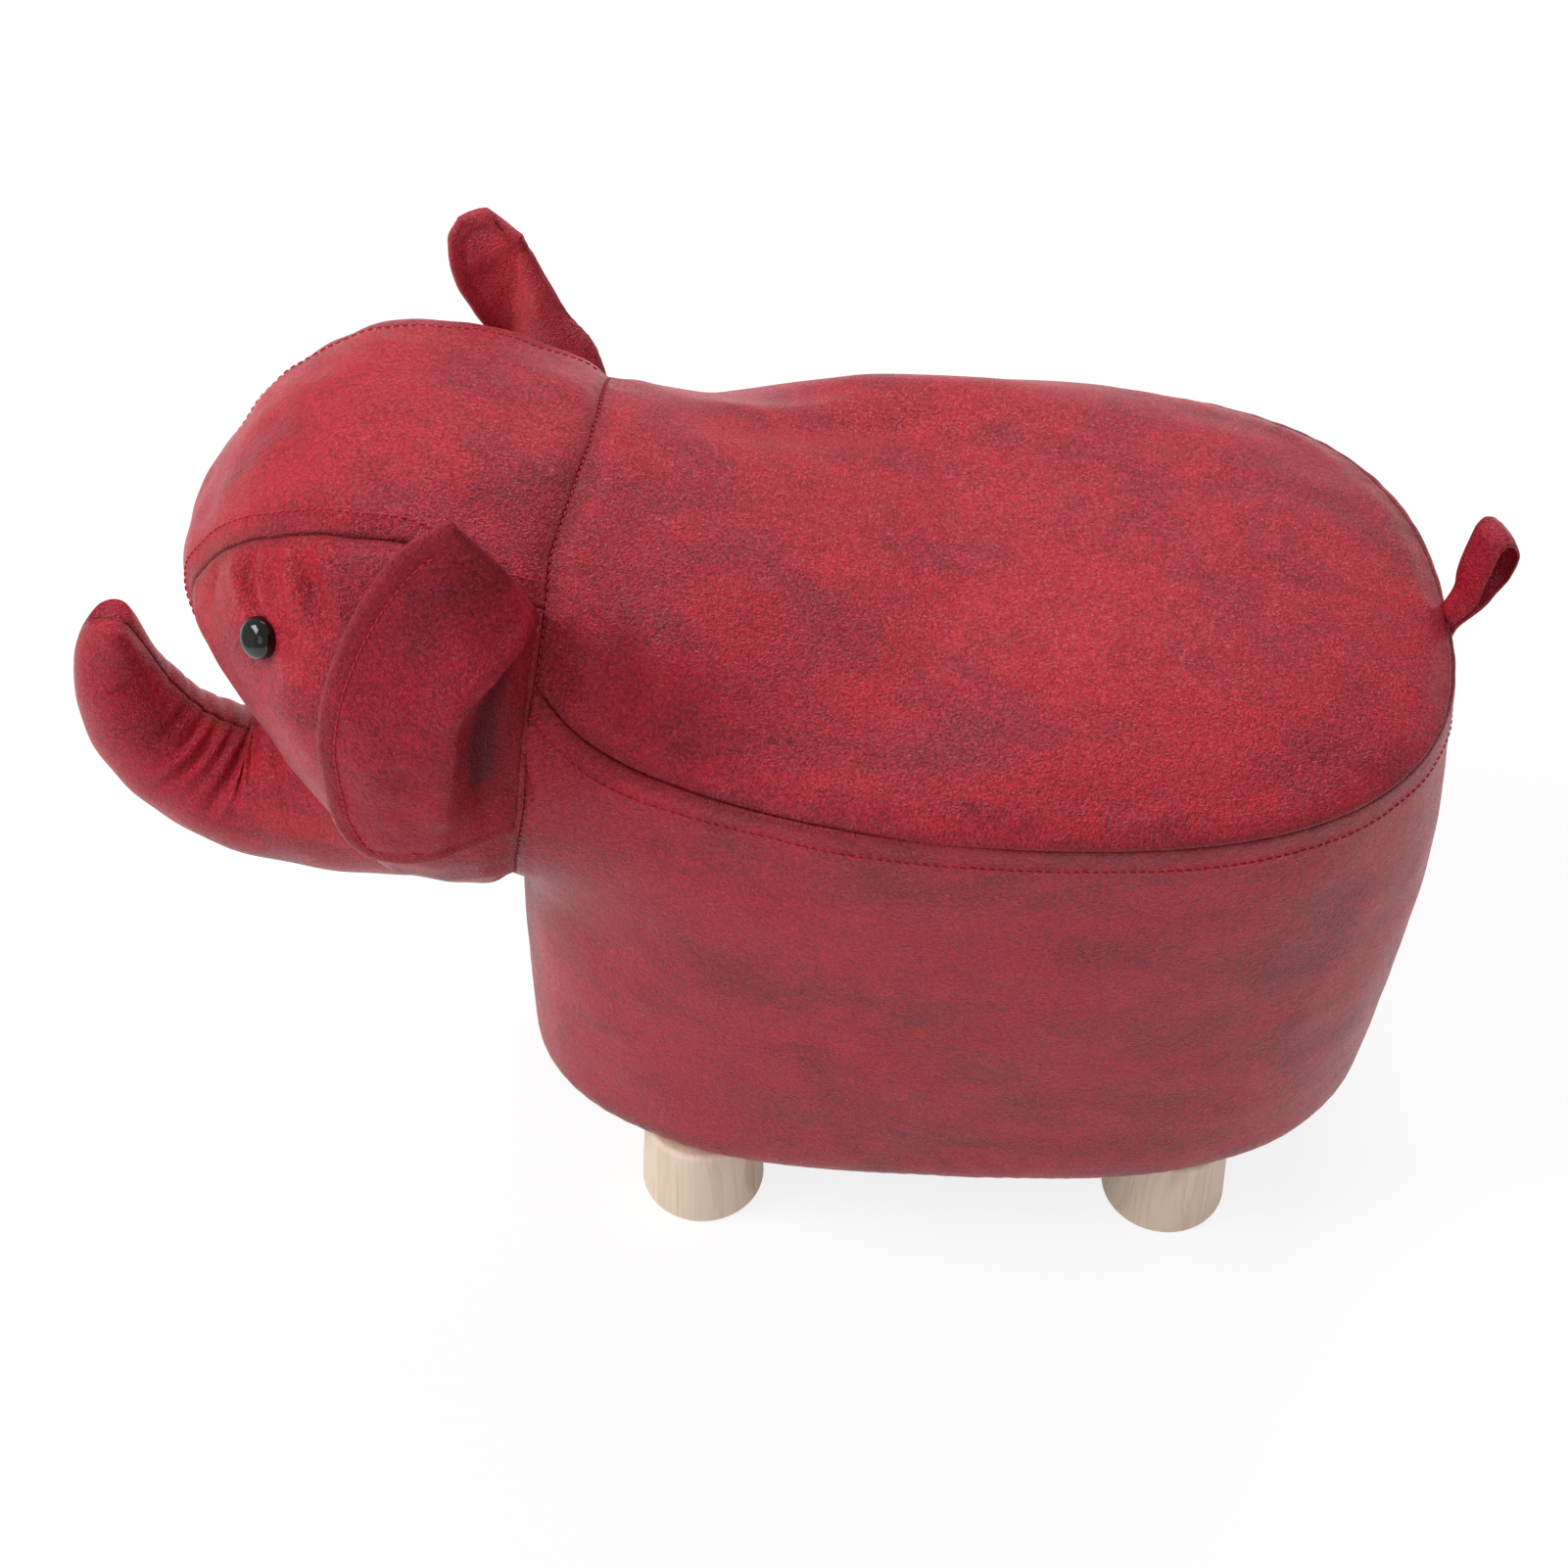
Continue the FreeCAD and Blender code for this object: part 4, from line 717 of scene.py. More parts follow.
def trunk_half(name, side):
    turns = np.radians(np.concatenate([[0, 1.6, 3.6, 6.5], np.linspace(10, 170, 58), [173.5, 176.4, 178.4, 180]]))
    c, s = np.cos(turns)[None, :, None], np.sin(turns)[None, :, None] * side
    ways = c * spine_up[:, None] + s * spine_side
    share = (trunk_at / TRUNK_LENGTH)[:, None]
    radius = np.repeat(trunk_radius[:, None], len(turns), 1)
    grid = spine[:, None] + ways * radius[..., None]
    degrees = np.degrees(turns)[None] * side
    push = np.zeros_like(radius)
    for place, where, reach, width, depth in TRUNK_CREASES:
        lean = 3.0 * np.sin(np.radians(degrees * 1.3 + place * 700))
        off = (share - place) * TRUNK_LENGTH + lean
        deep = depth * bell(degrees, where, reach)
        push = push - deep * bell(off, 0, width) + 0.35 * deep * bell(np.abs(off), width * 2.0, width * 1.2)
    seam_off = np.minimum(np.radians(np.minimum(degrees * side, 180 - degrees * side)) * radius, 99)
    push = push + seam_roll(seam_off, 0.9, 2.2) + 0.22 * puckers(trunk_at[:, None], seam_off, 31 + side, 7.0)
    push = push + 0.5 * ripple(grid, 34, 7) * ease(seam_off, 0.5, 8)
    tip = ease(share, 0.90, 1.0)
    push = push + tip * 1.4 * bell(degrees * side, 60, 34) - tip * 1.2 * bell(degrees * side, 0, 25)
    head_gap, _ = tube_level(grid)
    push = push - 3.5 * bell(head_gap, 0, 9) * ease(0.45 - share, 0.0, 0.12)
    points = grid + ways * push[..., None]
    lobe = tip * (4.6 if side > 0 else 2.2) * np.sin(turns)[None] ** 1.4
    points = points + spine_way[:, None] * lobe[..., None]
    points[-1] = spine[-1] + spine_way[-1] * 1.0 + (points[-1] - spine[-1]) * 0.22
    end = spine[-1] + spine_way[-1] * 0.6
    first = int(np.argmax(head_gap.max(1) > -14))
    points, marks = points[first:], seam_off[first:]
    rows, columns = points.shape[:2]
    fan = [[(rows - 1) * columns + k, (rows - 1) * columns + k + 1, rows * columns] for k in range(columns - 1)]
    faces = grid_faces(rows, columns).tolist() + fan
    points = np.concatenate([points.reshape(-1, 3), end[None]])
    return sideways(mesh_of(name, points, faces, {"seam": np.append(marks.ravel(), 0.0)}), side)


trunk_near = trunk_half("trunk_near", -1)
trunk_far = trunk_half("trunk_far", 1)


# Ears: rows from the lower edge to the upper one, each with its root, its fold and its front edge
# A root of two numbers is a turn round the neck seam in degrees, and a length ahead of it

LEFT_EAR = (
    ((188, 1.0), (-126, -134, 276), (-153, -129, 273.5)),
    ((182, 1.0), (-120.4, -136, 291), (-160.2, -130, 284.6)),
    ((172, 1.0), (-115.7, -138.5, 311.6), (-164, -130.5, 303.4)),
    ((163, 1.0), (-110.8, -139.5, 336.7), (-164.2, -131, 330.7)),
    ((155, 1.0), (-107.1, -138, 357.3), (-160.9, -130, 352.5)),
    ((147, 1.0), (-99.6, -133, 367.1), (-155.2, -127, 371.2)),
    ((141, 1.0), (-89.2, -124, 375), (-145.8, -124, 391.4)),
    ((137, 1.0), (-82.5, -114, 379), (-133.1, -121.5, 411)),
    ((134.5, 1.0), (-84, -107, 391), (-120.1, -119, 424.6)),
    ((132, 1.0), (-88.7, -104, 405.6), (-103.4, -116.5, 433.5)),
)
RIGHT_EAR = (
    ((-117, 128, 259), (-126, 130.7, 258), (-133, 129.5, 259)),
    ((-100, 123, 267), (-121, 134.5, 268), (-141.5, 130.5, 271)),
    ((-85, 117, 290), (-115.5, 139, 292), (-141, 134, 292)),
    ((-78, 112, 310), (-115, 139.5, 314), (-133, 135.5, 316)),
    ((-71, 106, 330), (-116.5, 138, 334), (-129, 133, 337)),
    ((-77, 113, 348), (-113.5, 135.5, 353), (-134.5, 131.5, 354)),
    ((-89, 120, 361), (-111, 133.3, 368), (-140, 130.3, 369)),
    ((-96.5, 123.5, 374), (-108.5, 131, 381), (-141.5, 129.5, 381)),
    ((-102, 125.5, 385), (-109, 130, 390), (-141, 129.2, 391)),
    ((-107.5, 127, 396), (-122, 130, 407.2), (-135.5, 129.2, 402.5)),
)
EAR_THICK, EAR_HOLLOW = 6.0, 5.0


def ear_piece(name, table, side):
    """A stuffed ear with a hollow between its root and its fold, on the far side (1) or the near side (-1)."""
    rows, columns = 140, 104
    marks = []
    for root, fold, front in table:
        if len(root) == 2:
            turn = math.radians(root[0])
            root = tube_point(neck_bow(np.array(turn)) + root[1], turn)
        marks.append([root, fold, front])
    marks = np.array(marks, float)
    run = np.concatenate([[0], np.cumsum(np.linalg.norm(np.diff(marks, axis=0), axis=-1).mean(-1))])
    s = end_shares(rows, 0.4)
    back, ridge, front = [curve_at(s * run[-1], run, marks[:, k])[:, None] for k in range(3)]
    t = end_shares(columns, 0.5)[None, :, None]
    pull = np.linalg.norm(ridge - back, axis=-1, keepdims=True)
    fold_at = pull / (pull + np.linalg.norm(front - ridge, axis=-1, keepdims=True))
    behind, before = back + (ridge - back) * t / fold_at, ridge + (front - ridge) * (t - fold_at) / (1 - fold_at)
    grid = np.where(t < fold_at, behind, before)
    for _ in range(14):
        eased = grid.copy()
        eased[:, 1:-1] = (grid[:, :-2] + 2 * grid[:, 1:-1] + grid[:, 2:]) / 4
        eased[1:-1, 1:-1] = (eased[:-2, 1:-1] + 2 * eased[1:-1, 1:-1] + eased[2:, 1:-1]) / 4
        grid = eased
    out = grid_normals(grid, False)
    out = towards(out, (out[..., 1] * side).mean())
    t, up = t[..., 0], s[:, None]
    fold_at = fold_at[..., 0]
    rim = np.concatenate([grid[0], grid[:, -1], grid[-1, ::-1]])
    off_rim = to_line(grid, even_line(rim, 700))
    off_root = to_line(grid, even_line(grid[:, 0], 260))
    off = np.minimum(off_rim, off_root)
    upright = ease(up, 0.08, 0.28) * ease(1 - up, 0.10, 0.30)
    before_fold = np.sin(math.pi * np.clip(t / fold_at, 0, 1))
    hollow = -EAR_HOLLOW * before_fold ** 1.2 * (t < fold_at) * upright
    full = 1.8 * np.sin(math.pi * np.clip((t - fold_at) / (1 - fold_at), 0, 1)) * (t >= fold_at)
    swell = np.sqrt(np.clip(1 - (1 - np.clip(off / 3.2, 0, 1)) ** 2, 0, 1))
    half = EAR_THICK / 2 * swell * (1 + 0.2 * ease(off, 12, 30)) - 0.45 * bell(off_rim, 8.0, 1.5)
    wave = 0.8 * ripple(grid, 46, 41 + side) * ease(off, 3, 16) + 0.3 * ripple(grid, 20, 43 + side) * ease(off, 1, 8)
    creases = -1.0 * bell(t, fold_at * 0.45, 0.05) * bell(up, 0.3, 0.16)
    creases = creases - 0.8 * bell(t, fold_at + 0.12, 0.05) * bell(up, 0.16, 0.10)
    centre = grid - out * (EAR_THICK / 2) + out * (wave + hollow + full + creases)[..., None]
    outer = centre + out * half[..., None]
    inner = centre - out * half[..., None]
    size = rows * columns
    inner[0], inner[-1], inner[:, 0], inner[:, -1] = outer[0], outer[-1], outer[:, 0], outer[:, -1]
    number = np.arange(2 * size)
    edge = np.zeros((rows, columns), bool)
    edge[0] = edge[-1] = edge[:, 0] = edge[:, -1] = True
    number[size:][edge.ravel()] = np.arange(size)[edge.ravel()]
    used, faces = np.unique(number[two_sided(rows, columns)], return_inverse=True)
    points = np.concatenate([outer.reshape(-1, 3), inner.reshape(-1, 3)])[used]
    # The hollow between the root and the fold gets a low seam mark, which the leather turns darker: painted shade in
    # the recess
    recess_shade_mask = before_fold ** 0.7 * (t < fold_at) * upright
    edges_dark = np.minimum(off_root * 0.6 + 0.5, off_rim * 0.5 + 2.5)
    dark = np.minimum(edges_dark, 9.5 - 9.6 * recess_shade_mask ** 0.5 + 22 * (recess_shade_mask < 0.02))
    marks = np.concatenate([dark.ravel(), edges_dark.ravel()])[used]
    piece = mesh_of(name, points, faces.reshape(-1, 4), {"seam": marks})
    return sideways(piece, side, (rows - 1) * (columns - 1)), outer, off_rim, out


left_ear, left_outer, left_off, left_out = ear_piece("left_ear", LEFT_EAR, -1)
right_ear, right_outer, right_off, right_out = ear_piece("right_ear", RIGHT_EAR, 1)


# Tail: a strap folded into a loop, a little twisted, both ends in the rear seam

TAIL_PATH = ((0.8, -9.0), (2.4, 0), (7.0, 12), (13.5, 22), (15.6, 32), (12.5, 39), (7.5, 41.2), (3.6, 38), (1.4, 29),
             (-0.4, 15), (-1.0, 3), (-2.0, -9.0))
TAIL_PLACE, TAIL_YAW, TAIL_HALF, TAIL_THICK = np.array((290.0, -9.0, 307.4)), math.radians(25), 8.6, 2.2


def tail_piece():
    marks = np.array([(a, 0, b) for a, b in TAIL_PATH], float)
    run = lengths_along(marks)
    at = np.linspace(0, run[-1], 150)
    path = curve_at(at, run, marks)
    way = unit(np.gradient(path, axis=0))
    share = at / run[-1]
    twist = np.radians(16 * np.sin(math.pi * share) - 6)
    across = np.stack([np.zeros_like(at), np.cos(twist), np.sin(twist)], -1)
    across = unit(across - (across * way).sum(-1, keepdims=True) * way)
    out = np.cross(way, across)
    shift = np.stack([np.zeros_like(at), 3.0 * np.sin(math.pi * share) * (share - 0.3), np.zeros_like(at)], -1)
    path = path + shift
    turns = np.linspace(0, 2 * math.pi, 41)[:-1]
    c, s = np.cos(turns), np.sin(turns)
    wide = squared(c, 0.35) * TAIL_HALF
    deep = squared(s, 0.7) * TAIL_THICK / 2
    pinch = (0.90 + 0.10 * np.sin(math.pi * share))[:, None]
    cup = 1.1 * (wide / TAIL_HALF) ** 2
    stitch_dip = -0.25 * bell(np.abs(wide), TAIL_HALF - 2.4, 0.8) * np.sign(deep)
    lift = (deep + cup + stitch_dip)[None, :, None]
    grid = path[:, None] + across[:, None] * (wide * pinch)[..., None] + out[:, None] * lift
    grid = grid + out[:, None] * 0.3 * ripple(grid, 14, 51)[..., None]
    x, y, z = grid[..., 0], grid[..., 1], grid[..., 2]
    yaw = TAIL_YAW * (0.2 + 0.8 * ease(z, -2, 16))
    c, s = np.cos(yaw), np.sin(yaw)
    turned = np.stack([x * c - y * s, x * s + y * c, z], -1) + TAIL_PLACE
    turned[..., 0] = turned[..., 0] - 5.0 * ease(-z, -12, 4)
    rows, columns = turned.shape[:2]
    ends = [list(range(columns))[::-1], [(rows - 1) * columns + k for k in range(columns)]]
    faces = grid_faces(rows, columns, True, flip=True).tolist() + ends
    off = np.broadcast_to(TAIL_HALF - np.abs(wide)[None] + 0.8, turned.shape[:2])
    return mesh_of("tail_strap", turned.reshape(-1, 3), faces, {"seam": off.ravel()})


tail_strap = tail_piece()


# Dust cloth: a thin sheet stretched under the belly, its edge stapled over the hem

CLOTH_INSET = 8.0


def dust_sheet():
    outline = hem_oval(CLOTH_INSET)[::8][:-1]
    middle = np.array((STATION - 15, 0, BELLY_LOW))
    shares = np.linspace(0, 1, 46)
    grid = middle + (outline[None] - middle) * (1 - shares)[:, None, None]
    inward = (1 - shares)[:, None]
    sag = 1.6 * np.clip(1 - inward ** 2, 0, 1) + 0.25 * ripple(grid, 60, 61) * (1 - inward ** 4)
    grid[..., 2] = BELLY_LOW - 0.35 - 0.55 * ease(shares, 0, 0.25)[:, None] - sag * 0.35
    under = grid.copy()
    under[..., 2] = under[..., 2] - 0.4
    rows, columns = grid.shape[:2]
    size = rows * columns
    c = np.arange(columns)
    n = (c + 1) % columns
    faces = np.concatenate([two_sided(rows, columns, True), np.stack([n, c, size + c, size + n], -1)])
    return mesh_of("dust_cloth", np.concatenate([grid.reshape(-1, 3), under.reshape(-1, 3)]), faces)


dust_cloth = dust_sheet()


# Shader writing: a socket that takes part in Python expressions

class Value:
    def __init__(self, tree, socket):
        self.tree, self.socket = tree, socket

    def maths(self, kind, *others):
        return self.tree.node("ShaderNodeMath", {"operation": kind}, self, *others)

    def __add__(self, other): return self.maths("ADD", other)
    def __radd__(self, other): return self.maths("ADD", other)
    def __mul__(self, other): return self.maths("MULTIPLY", other)
    def __rmul__(self, other): return self.maths("MULTIPLY", other)
    def __sub__(self, other): return self.maths("SUBTRACT", other)
    def __rsub__(self, other): return self.tree.node("ShaderNodeMath", {"operation": "SUBTRACT"}, other, self)


class Finish:
    """A material in the making."""

    def __init__(self, name):
        self.material = bpy.data.materials.new(name)
        self.material.use_nodes = True
        self.nodes = self.material.node_tree.nodes
        self.links = self.material.node_tree.links
        self.nodes.clear()
        self.output = self.nodes.new("ShaderNodeOutputMaterial")
        self.place = self.node("ShaderNodeTexCoord", {}, out="Object")

    def node(self, kind, settings, *values, out=0, **named):
        """Any node from its type, its settings and its sockets' values or links, in order or by name."""
        made = self.nodes.new(kind)
        for word, value in settings.items():
            setattr(made, word, value)
        for word, value in list(enumerate(values)) + [(word.replace("_", " "), value) for word, value in named.items()]:
            if isinstance(value, Value):
                self.links.new(value.socket, made.inputs[word])
            elif value is not None:
                made.inputs[word].default_value = value
        return Value(self, made.outputs[out])

    def noise(self, scale, detail=3.0, rough=0.55, stretch=None, twist=0.0):
        place = self.place
        if stretch:
            place = self.node("ShaderNodeMapping", {}, place, None, None, stretch)
        return self.node("ShaderNodeTexNoise", {}, Vector=place, Scale=scale, Detail=detail, Roughness=rough,
                         Distortion=twist)

    def ramp(self, value, low, high):
        """0 at low and 1 at high, with soft ends."""
        return self.node("ShaderNodeMapRange", {"interpolation_type": "SMOOTHSTEP"}, value, low, high, 0.0, 1.0)

    def blend(self, share, first, second):
        """A colour a share of the way from the first to the second."""
        return self.node("ShaderNodeMix", {"data_type": "RGBA"}, share, *[None] * 5, first, second, out=2)

    def bump(self, height, strength, distance, under=None):
        return self.node("ShaderNodeBump", {}, Height=height, Strength=strength, Distance=distance, Normal=under)

    def surface(self, **named):
        shader = self.node("ShaderNodeBsdfPrincipled", {}, **named)
        self.links.new(shader.socket, self.output.inputs["Surface"])
        return self.material


def tone(red, green, blue):
    """Colour as a camera records it, made linear."""
    line = [c / 255 for c in (red, green, blue)]
    return tuple(c / 12.92 if c <= 0.04045 else ((c + 0.055) / 1.055) ** 2.4 for c in line) + (1.0,)


def leather(name, shade=1.0, shine=0.31, painted_sheen=0.0):
    """Distressed red faux leather: crimson with burgundy streaks, a fine crackled grain and a soft sheen."""
    # shade scales every colour of the leather into a lighter or darker copy: painted light and painted shade
    def dye_and_painted_light(*levels):
        return tone(*[level * shade for level in levels])

    f = Finish(name)
    red, deep, bright, ash = dye_and_painted_light(190, 27, 48), dye_and_painted_light(126, 20, 41), dye_and_painted_light(216, 25, 40), dye_and_painted_light(164, 62, 80)
    streaks = f.noise(1.0, 7.0, 0.70, (9.0, 19.0, 21.0), 0.9)
    clouds = f.noise(15.0, 7.0, 0.70)
    patches = f.noise(52.0, 6.0, 0.75)
    speck = f.noise(680.0, 2.0, 0.70)
    grain = f.noise(540.0, 2.0, 0.50, None, 1.8)
    worn = f.ramp(streaks * 0.55 + clouds * 0.45, 0.45, 0.61)
    colour = f.blend(worn * 0.62, red, deep)
    colour = f.blend(f.ramp(patches, 0.50, 0.72) * 0.30, colour, deep)
    colour = f.blend(f.ramp(patches, 0.47, 0.32) * 0.45, colour, bright)
    colour = f.blend(f.ramp(clouds, 0.52, 0.70) * 0.26, colour, ash)
    colour = f.blend(f.ramp(speck, 0.50, 0.36) * (0.42 + worn * 0.30), colour, dye_and_painted_light(98, 10, 30))
    colour = f.blend(f.ramp(speck, 0.54, 0.68) * 0.36, colour, dye_and_painted_light(222, 74, 90))
    colour = f.blend(f.ramp(grain, 0.47, 0.36) * 0.50, colour, dye_and_painted_light(108, 11, 31))
    # A pale pink blended over the whole surface: a painted sheen
    if painted_sheen:
        colour = f.blend(painted_sheen, colour, tone(214, 120, 130))
    # The seam mark darkens the leather at and near its seams; on the ears it also carries the painted shade of the
    # hollow behind the fold
    seam = f.node("ShaderNodeAttribute", {"attribute_name": "seam"}, out="Fac")
    colour = f.blend(f.ramp(seam, 0.9, 0.0) * 0.80, colour, tone(70, 8, 16))
    colour = f.blend(f.ramp(seam, 8.0, 1.0) * 0.40, colour, dye_and_painted_light(112, 20, 30))
    rough = 0.20 + 0.20 * patches + 0.10 * f.ramp(grain, 0.40, 0.60)
    coarse = f.bump(f.noise(190.0, 3.0, 0.6), 0.30, 0.0011)
    fine = f.bump(grain + speck * 0.3, 0.68, 0.0018, coarse)
    return f.surface(Base_Color=colour, Roughness=rough, Normal=fine, Specular_IOR_Level=shine)


def plain(name, colour, second, scale, roughness, metallic=0.0, stretch=None, depth=0.0001, coat=0.0):
    f = Finish(name)
    cloud = f.noise(scale, 4.0, 0.6, stretch)
    shade = f.blend(f.ramp(cloud, 0.3, 0.7), colour, second)
    rough = roughness - 0.08 + 0.16 * cloud
    return f.surface(Base_Color=shade, Roughness=rough, Metallic=metallic, Coat_Weight=coat,
                     Normal=f.bump(f.noise(scale * 3, 3.0, 0.6, stretch), 0.3, depth))


def wood(name, pale, dark, along=2, spread=1.0):
    """Turned pine with its grain along one axis."""
    f = Finish(name)
    band_stretch, fibre_stretch = [[fine if axis != along else coarse for axis in range(3)]
                                   for fine, coarse in ((55.0, 3.2), (420.0, 14.0))]
    broad = f.noise(spread, 3.0, 0.5, band_stretch, 0.7)
    bands = f.node("ShaderNodeMath", {"operation": "FRACT"}, broad * 7.0)
    late = f.ramp(bands, 0.55, 0.92) * (1 - f.ramp(bands, 0.92, 1.0))
    fibre = f.noise(1.0, 3.0, 0.6, fibre_stretch)
    colour = f.blend(late * 0.24, pale, dark)
    colour = f.blend(f.ramp(fibre, 0.44, 0.78) * 0.16, colour, dark)
    colour = f.blend(f.ramp(f.noise(18.0, 2.0), 0.45, 0.75) * 0.16, colour, tone(208, 164, 122))
    colour = f.blend(f.ramp(f.noise(1.0, 2.0, 0.5, (34.0, 34.0, 9.0)), 0.62, 0.68) * 0.40, colour, tone(196, 142, 84))
    rough = 0.50 + 0.16 * fibre
    return f.surface(Base_Color=colour, Roughness=rough, Normal=f.bump(fibre, 0.25, 0.00012))


red_leather = leather("red_leather")
# Copies of the leather for the ears: the near ear's is darker, painted shade, and the far ear's is lighter with a pale
# painted sheen, painted light
near_ear_shaded_leather = leather("near_ear_shaded_leather", 0.93, 0.20)
far_ear_lit_leather = leather("far_ear_lit_leather", 1.12, 0.31, 0.20)
thread = plain("seam_thread", tone(206, 26, 40), tone(170, 18, 32), 900.0, 0.5)
pine = wood("turned_pine", tone(252, 233, 210), tone(214, 178, 140))
block_pine = wood("block_pine", tone(214, 184, 146), tone(172, 130, 88))
ply = wood("birch_ply", tone(206, 176, 134), tone(168, 130, 88), 0, 0.6)
hardboard = plain("hardboard", tone(124, 86, 54), tone(98, 64, 38), 240.0, 0.7)
zinc = plain("zinc_steel", tone(176, 178, 182), tone(132, 134, 140), 190.0, 0.36, 1.0)
staple_steel = plain("staple_steel", tone(186, 188, 190), tone(150, 152, 156), 300.0, 0.32, 1.0)
eye_black = plain("eye_black", tone(6, 5, 7), tone(11, 10, 12), 60.0, 0.13, 0.0, None, 0.00001, 0.25)
washer_white = plain("washer_plastic", tone(214, 214, 208), tone(196, 196, 190), 120.0, 0.45)
dust_black = plain("dust_nonwoven", tone(24, 24, 26), tone(40, 40, 43), 700.0, 0.85)
leather_pieces = (seat_piece, side_piece, crown_piece, near_cheek, far_cheek, trunk_near, trunk_far, tail_strap)
for piece in leather_pieces:
    piece.data.materials.append(red_leather)
left_ear.data.materials.append(near_ear_shaded_leather)
right_ear.data.materials.append(far_ear_lit_leather)
dust_cloth.data.materials.append(dust_black)


# Stitches: one thread bead for every step along a line

def stitch_tree():
    tree = bpy.data.node_groups.new("stitch_row", "GeometryNodeTree")
    tree.interface.new_socket("Geometry", in_out="INPUT", socket_type="NodeSocketGeometry")
    for word, value in (("Pitch", 0.0036), ("Stitch length", 0.0028), ("Thread radius", 0.00038)):
        made = tree.interface.new_socket(word, in_out="INPUT", socket_type="NodeSocketFloat")
        made.default_value = value
    tree.interface.new_socket("Thread", in_out="INPUT", socket_type="NodeSocketMaterial")
    tree.interface.new_socket("Geometry", in_out="OUTPUT", socket_type="NodeSocketGeometry")
    new = tree.nodes.new
    enter, leave = new("NodeGroupInput"), new("NodeGroupOutput")
    line, resample = new("GeometryNodeMeshToCurve"), new("GeometryNodeResampleCurve")
    resample.mode = "LENGTH"
    bead, place = new("GeometryNodeMeshUVSphere"), new("GeometryNodeInstanceOnPoints")
    bead.inputs["Segments"].default_value, bead.inputs["Rings"].default_value = 6, 5
    bead.inputs["Radius"].default_value = 1.0
    tangent, aim = new("GeometryNodeInputTangent"), new("FunctionNodeAlignEulerToVector")
    aim.axis = "Z"
    size, half = new("ShaderNodeCombineXYZ"), new("ShaderNodeMath")
    half.operation = "MULTIPLY"
    half.inputs[1].default_value = 0.5
    solid, paint = new("GeometryNodeRealizeInstances"), new("GeometryNodeSetMaterial")
    soft = new("GeometryNodeSetShadeSmooth")
    for giver, word, taker, entry in (
            (enter, "Geometry", line, "Mesh"), (line, 0, resample, "Curve"), (enter, "Pitch", resample, "Length"),
            (resample, 0, place, "Points"), (bead, "Mesh", place, "Instance"), (tangent, 0, aim, "Vector"),
            (aim, 0, place, "Rotation"), (enter, "Stitch length", half, 0), (enter, "Thread radius", size, "X"),
            (enter, "Thread radius", size, "Y"), (half, 0, size, "Z"), (size, 0, place, "Scale"),
            (place, 0, solid, 0), (solid, 0, paint, "Geometry"), (enter, "Thread", paint, "Material"),
            (paint, 0, soft, 0), (soft, 0, leave, 0)):
        tree.links.new(giver.outputs[word], taker.inputs[entry])
    return tree


STITCHES = stitch_tree()


def stitch_row(name, lines):
    """Rows of stitches along lines of points in millimetres."""
    points, edges = [], []
    for line in lines:
        start = len(points)
        points = points + (np.asarray(line) * MM).tolist()
        edges = edges + [(start + k, start + k + 1) for k in range(len(line) - 1)]
    mesh = bpy.data.meshes.new(name)
    mesh.from_pydata(points, edges, [])
    guide = link(name, mesh)
    grow = guide.modifiers.new("stitches", "NODES")
    grow.node_group = STITCHES
    for item in STITCHES.interface.items_tree:
        if item.name == "Thread":
            grow[item.identifier] = thread
    bpy.context.view_layer.update()
    made = bpy.data.meshes.new_from_object(guide.evaluated_get(bpy.context.evaluated_depsgraph_get()))
    guide.modifiers.clear()
    guide.data = made
    made.name = name
    if not made.materials:
        made.materials.append(thread)
    return guide


def line_at(points, off, distance):
    """The line on a grid at a distance from its first row."""
    return np.array([spots_at(distance, off[:, column], points[:, column]) for column in range(points.shape[1])])


side_top = line_at(side_points[:len(side_off)], side_off, SIDE_STITCH_OFF)
side_normals = line_at(side_out, side_off, SIDE_STITCH_OFF)
STITCH_LOWEST, SEAM_LOWEST, CROWN_STITCH_OFF, EAR_STITCH_OFF = 262, 300, 10.0, 8.0
THREAD_LIFT, CROWN_THREAD_LIFT, THREAD_SINK = 0.2, 0.25, 0.6
keep = np.nonzero((side_top[:, 2] > STITCH_LOWEST) & (side_edge[:, 2] > SEAM_LOWEST))[0]
keep = keep[keep > 3]
side_stitches = stitch_row("side_topstitch", [side_top[keep] + side_normals[keep] * THREAD_LIFT])
crown_lines = []
for order in (slice(None), slice(None, None, -1)):
    across_crown = np.swapaxes(crown_points[4:96, order], 0, 1)
    line = line_at(across_crown, lengths_along(across_crown), CROWN_STITCH_OFF)
    crown_lines.append(line + unit(line - HEAD_HEART) * CROWN_THREAD_LIFT)
crown_stitches = stitch_row("crown_topstitch", crown_lines)
neck_stitches = stitch_row("neck_seam_thread", [neck_ring + unit(neck_ring.mean(0) - neck_ring) * THREAD_SINK])


def ear_lines(outer, off, out):
    """Line on the ear's outer face at the topstitch distance from its front edge, past the middle of the ear."""
    rows, columns = off.shape
    first = columns * 55 // 100
    line = []
    for row in range(8, rows - 10):
        spans = off[row, first:]
        if spans[0] > EAR_STITCH_OFF:
            skin = outer[row, first:] + out[row, first:] * THREAD_LIFT
            line.append(spots_at(-EAR_STITCH_OFF, -spans, skin))
    return np.array(line)


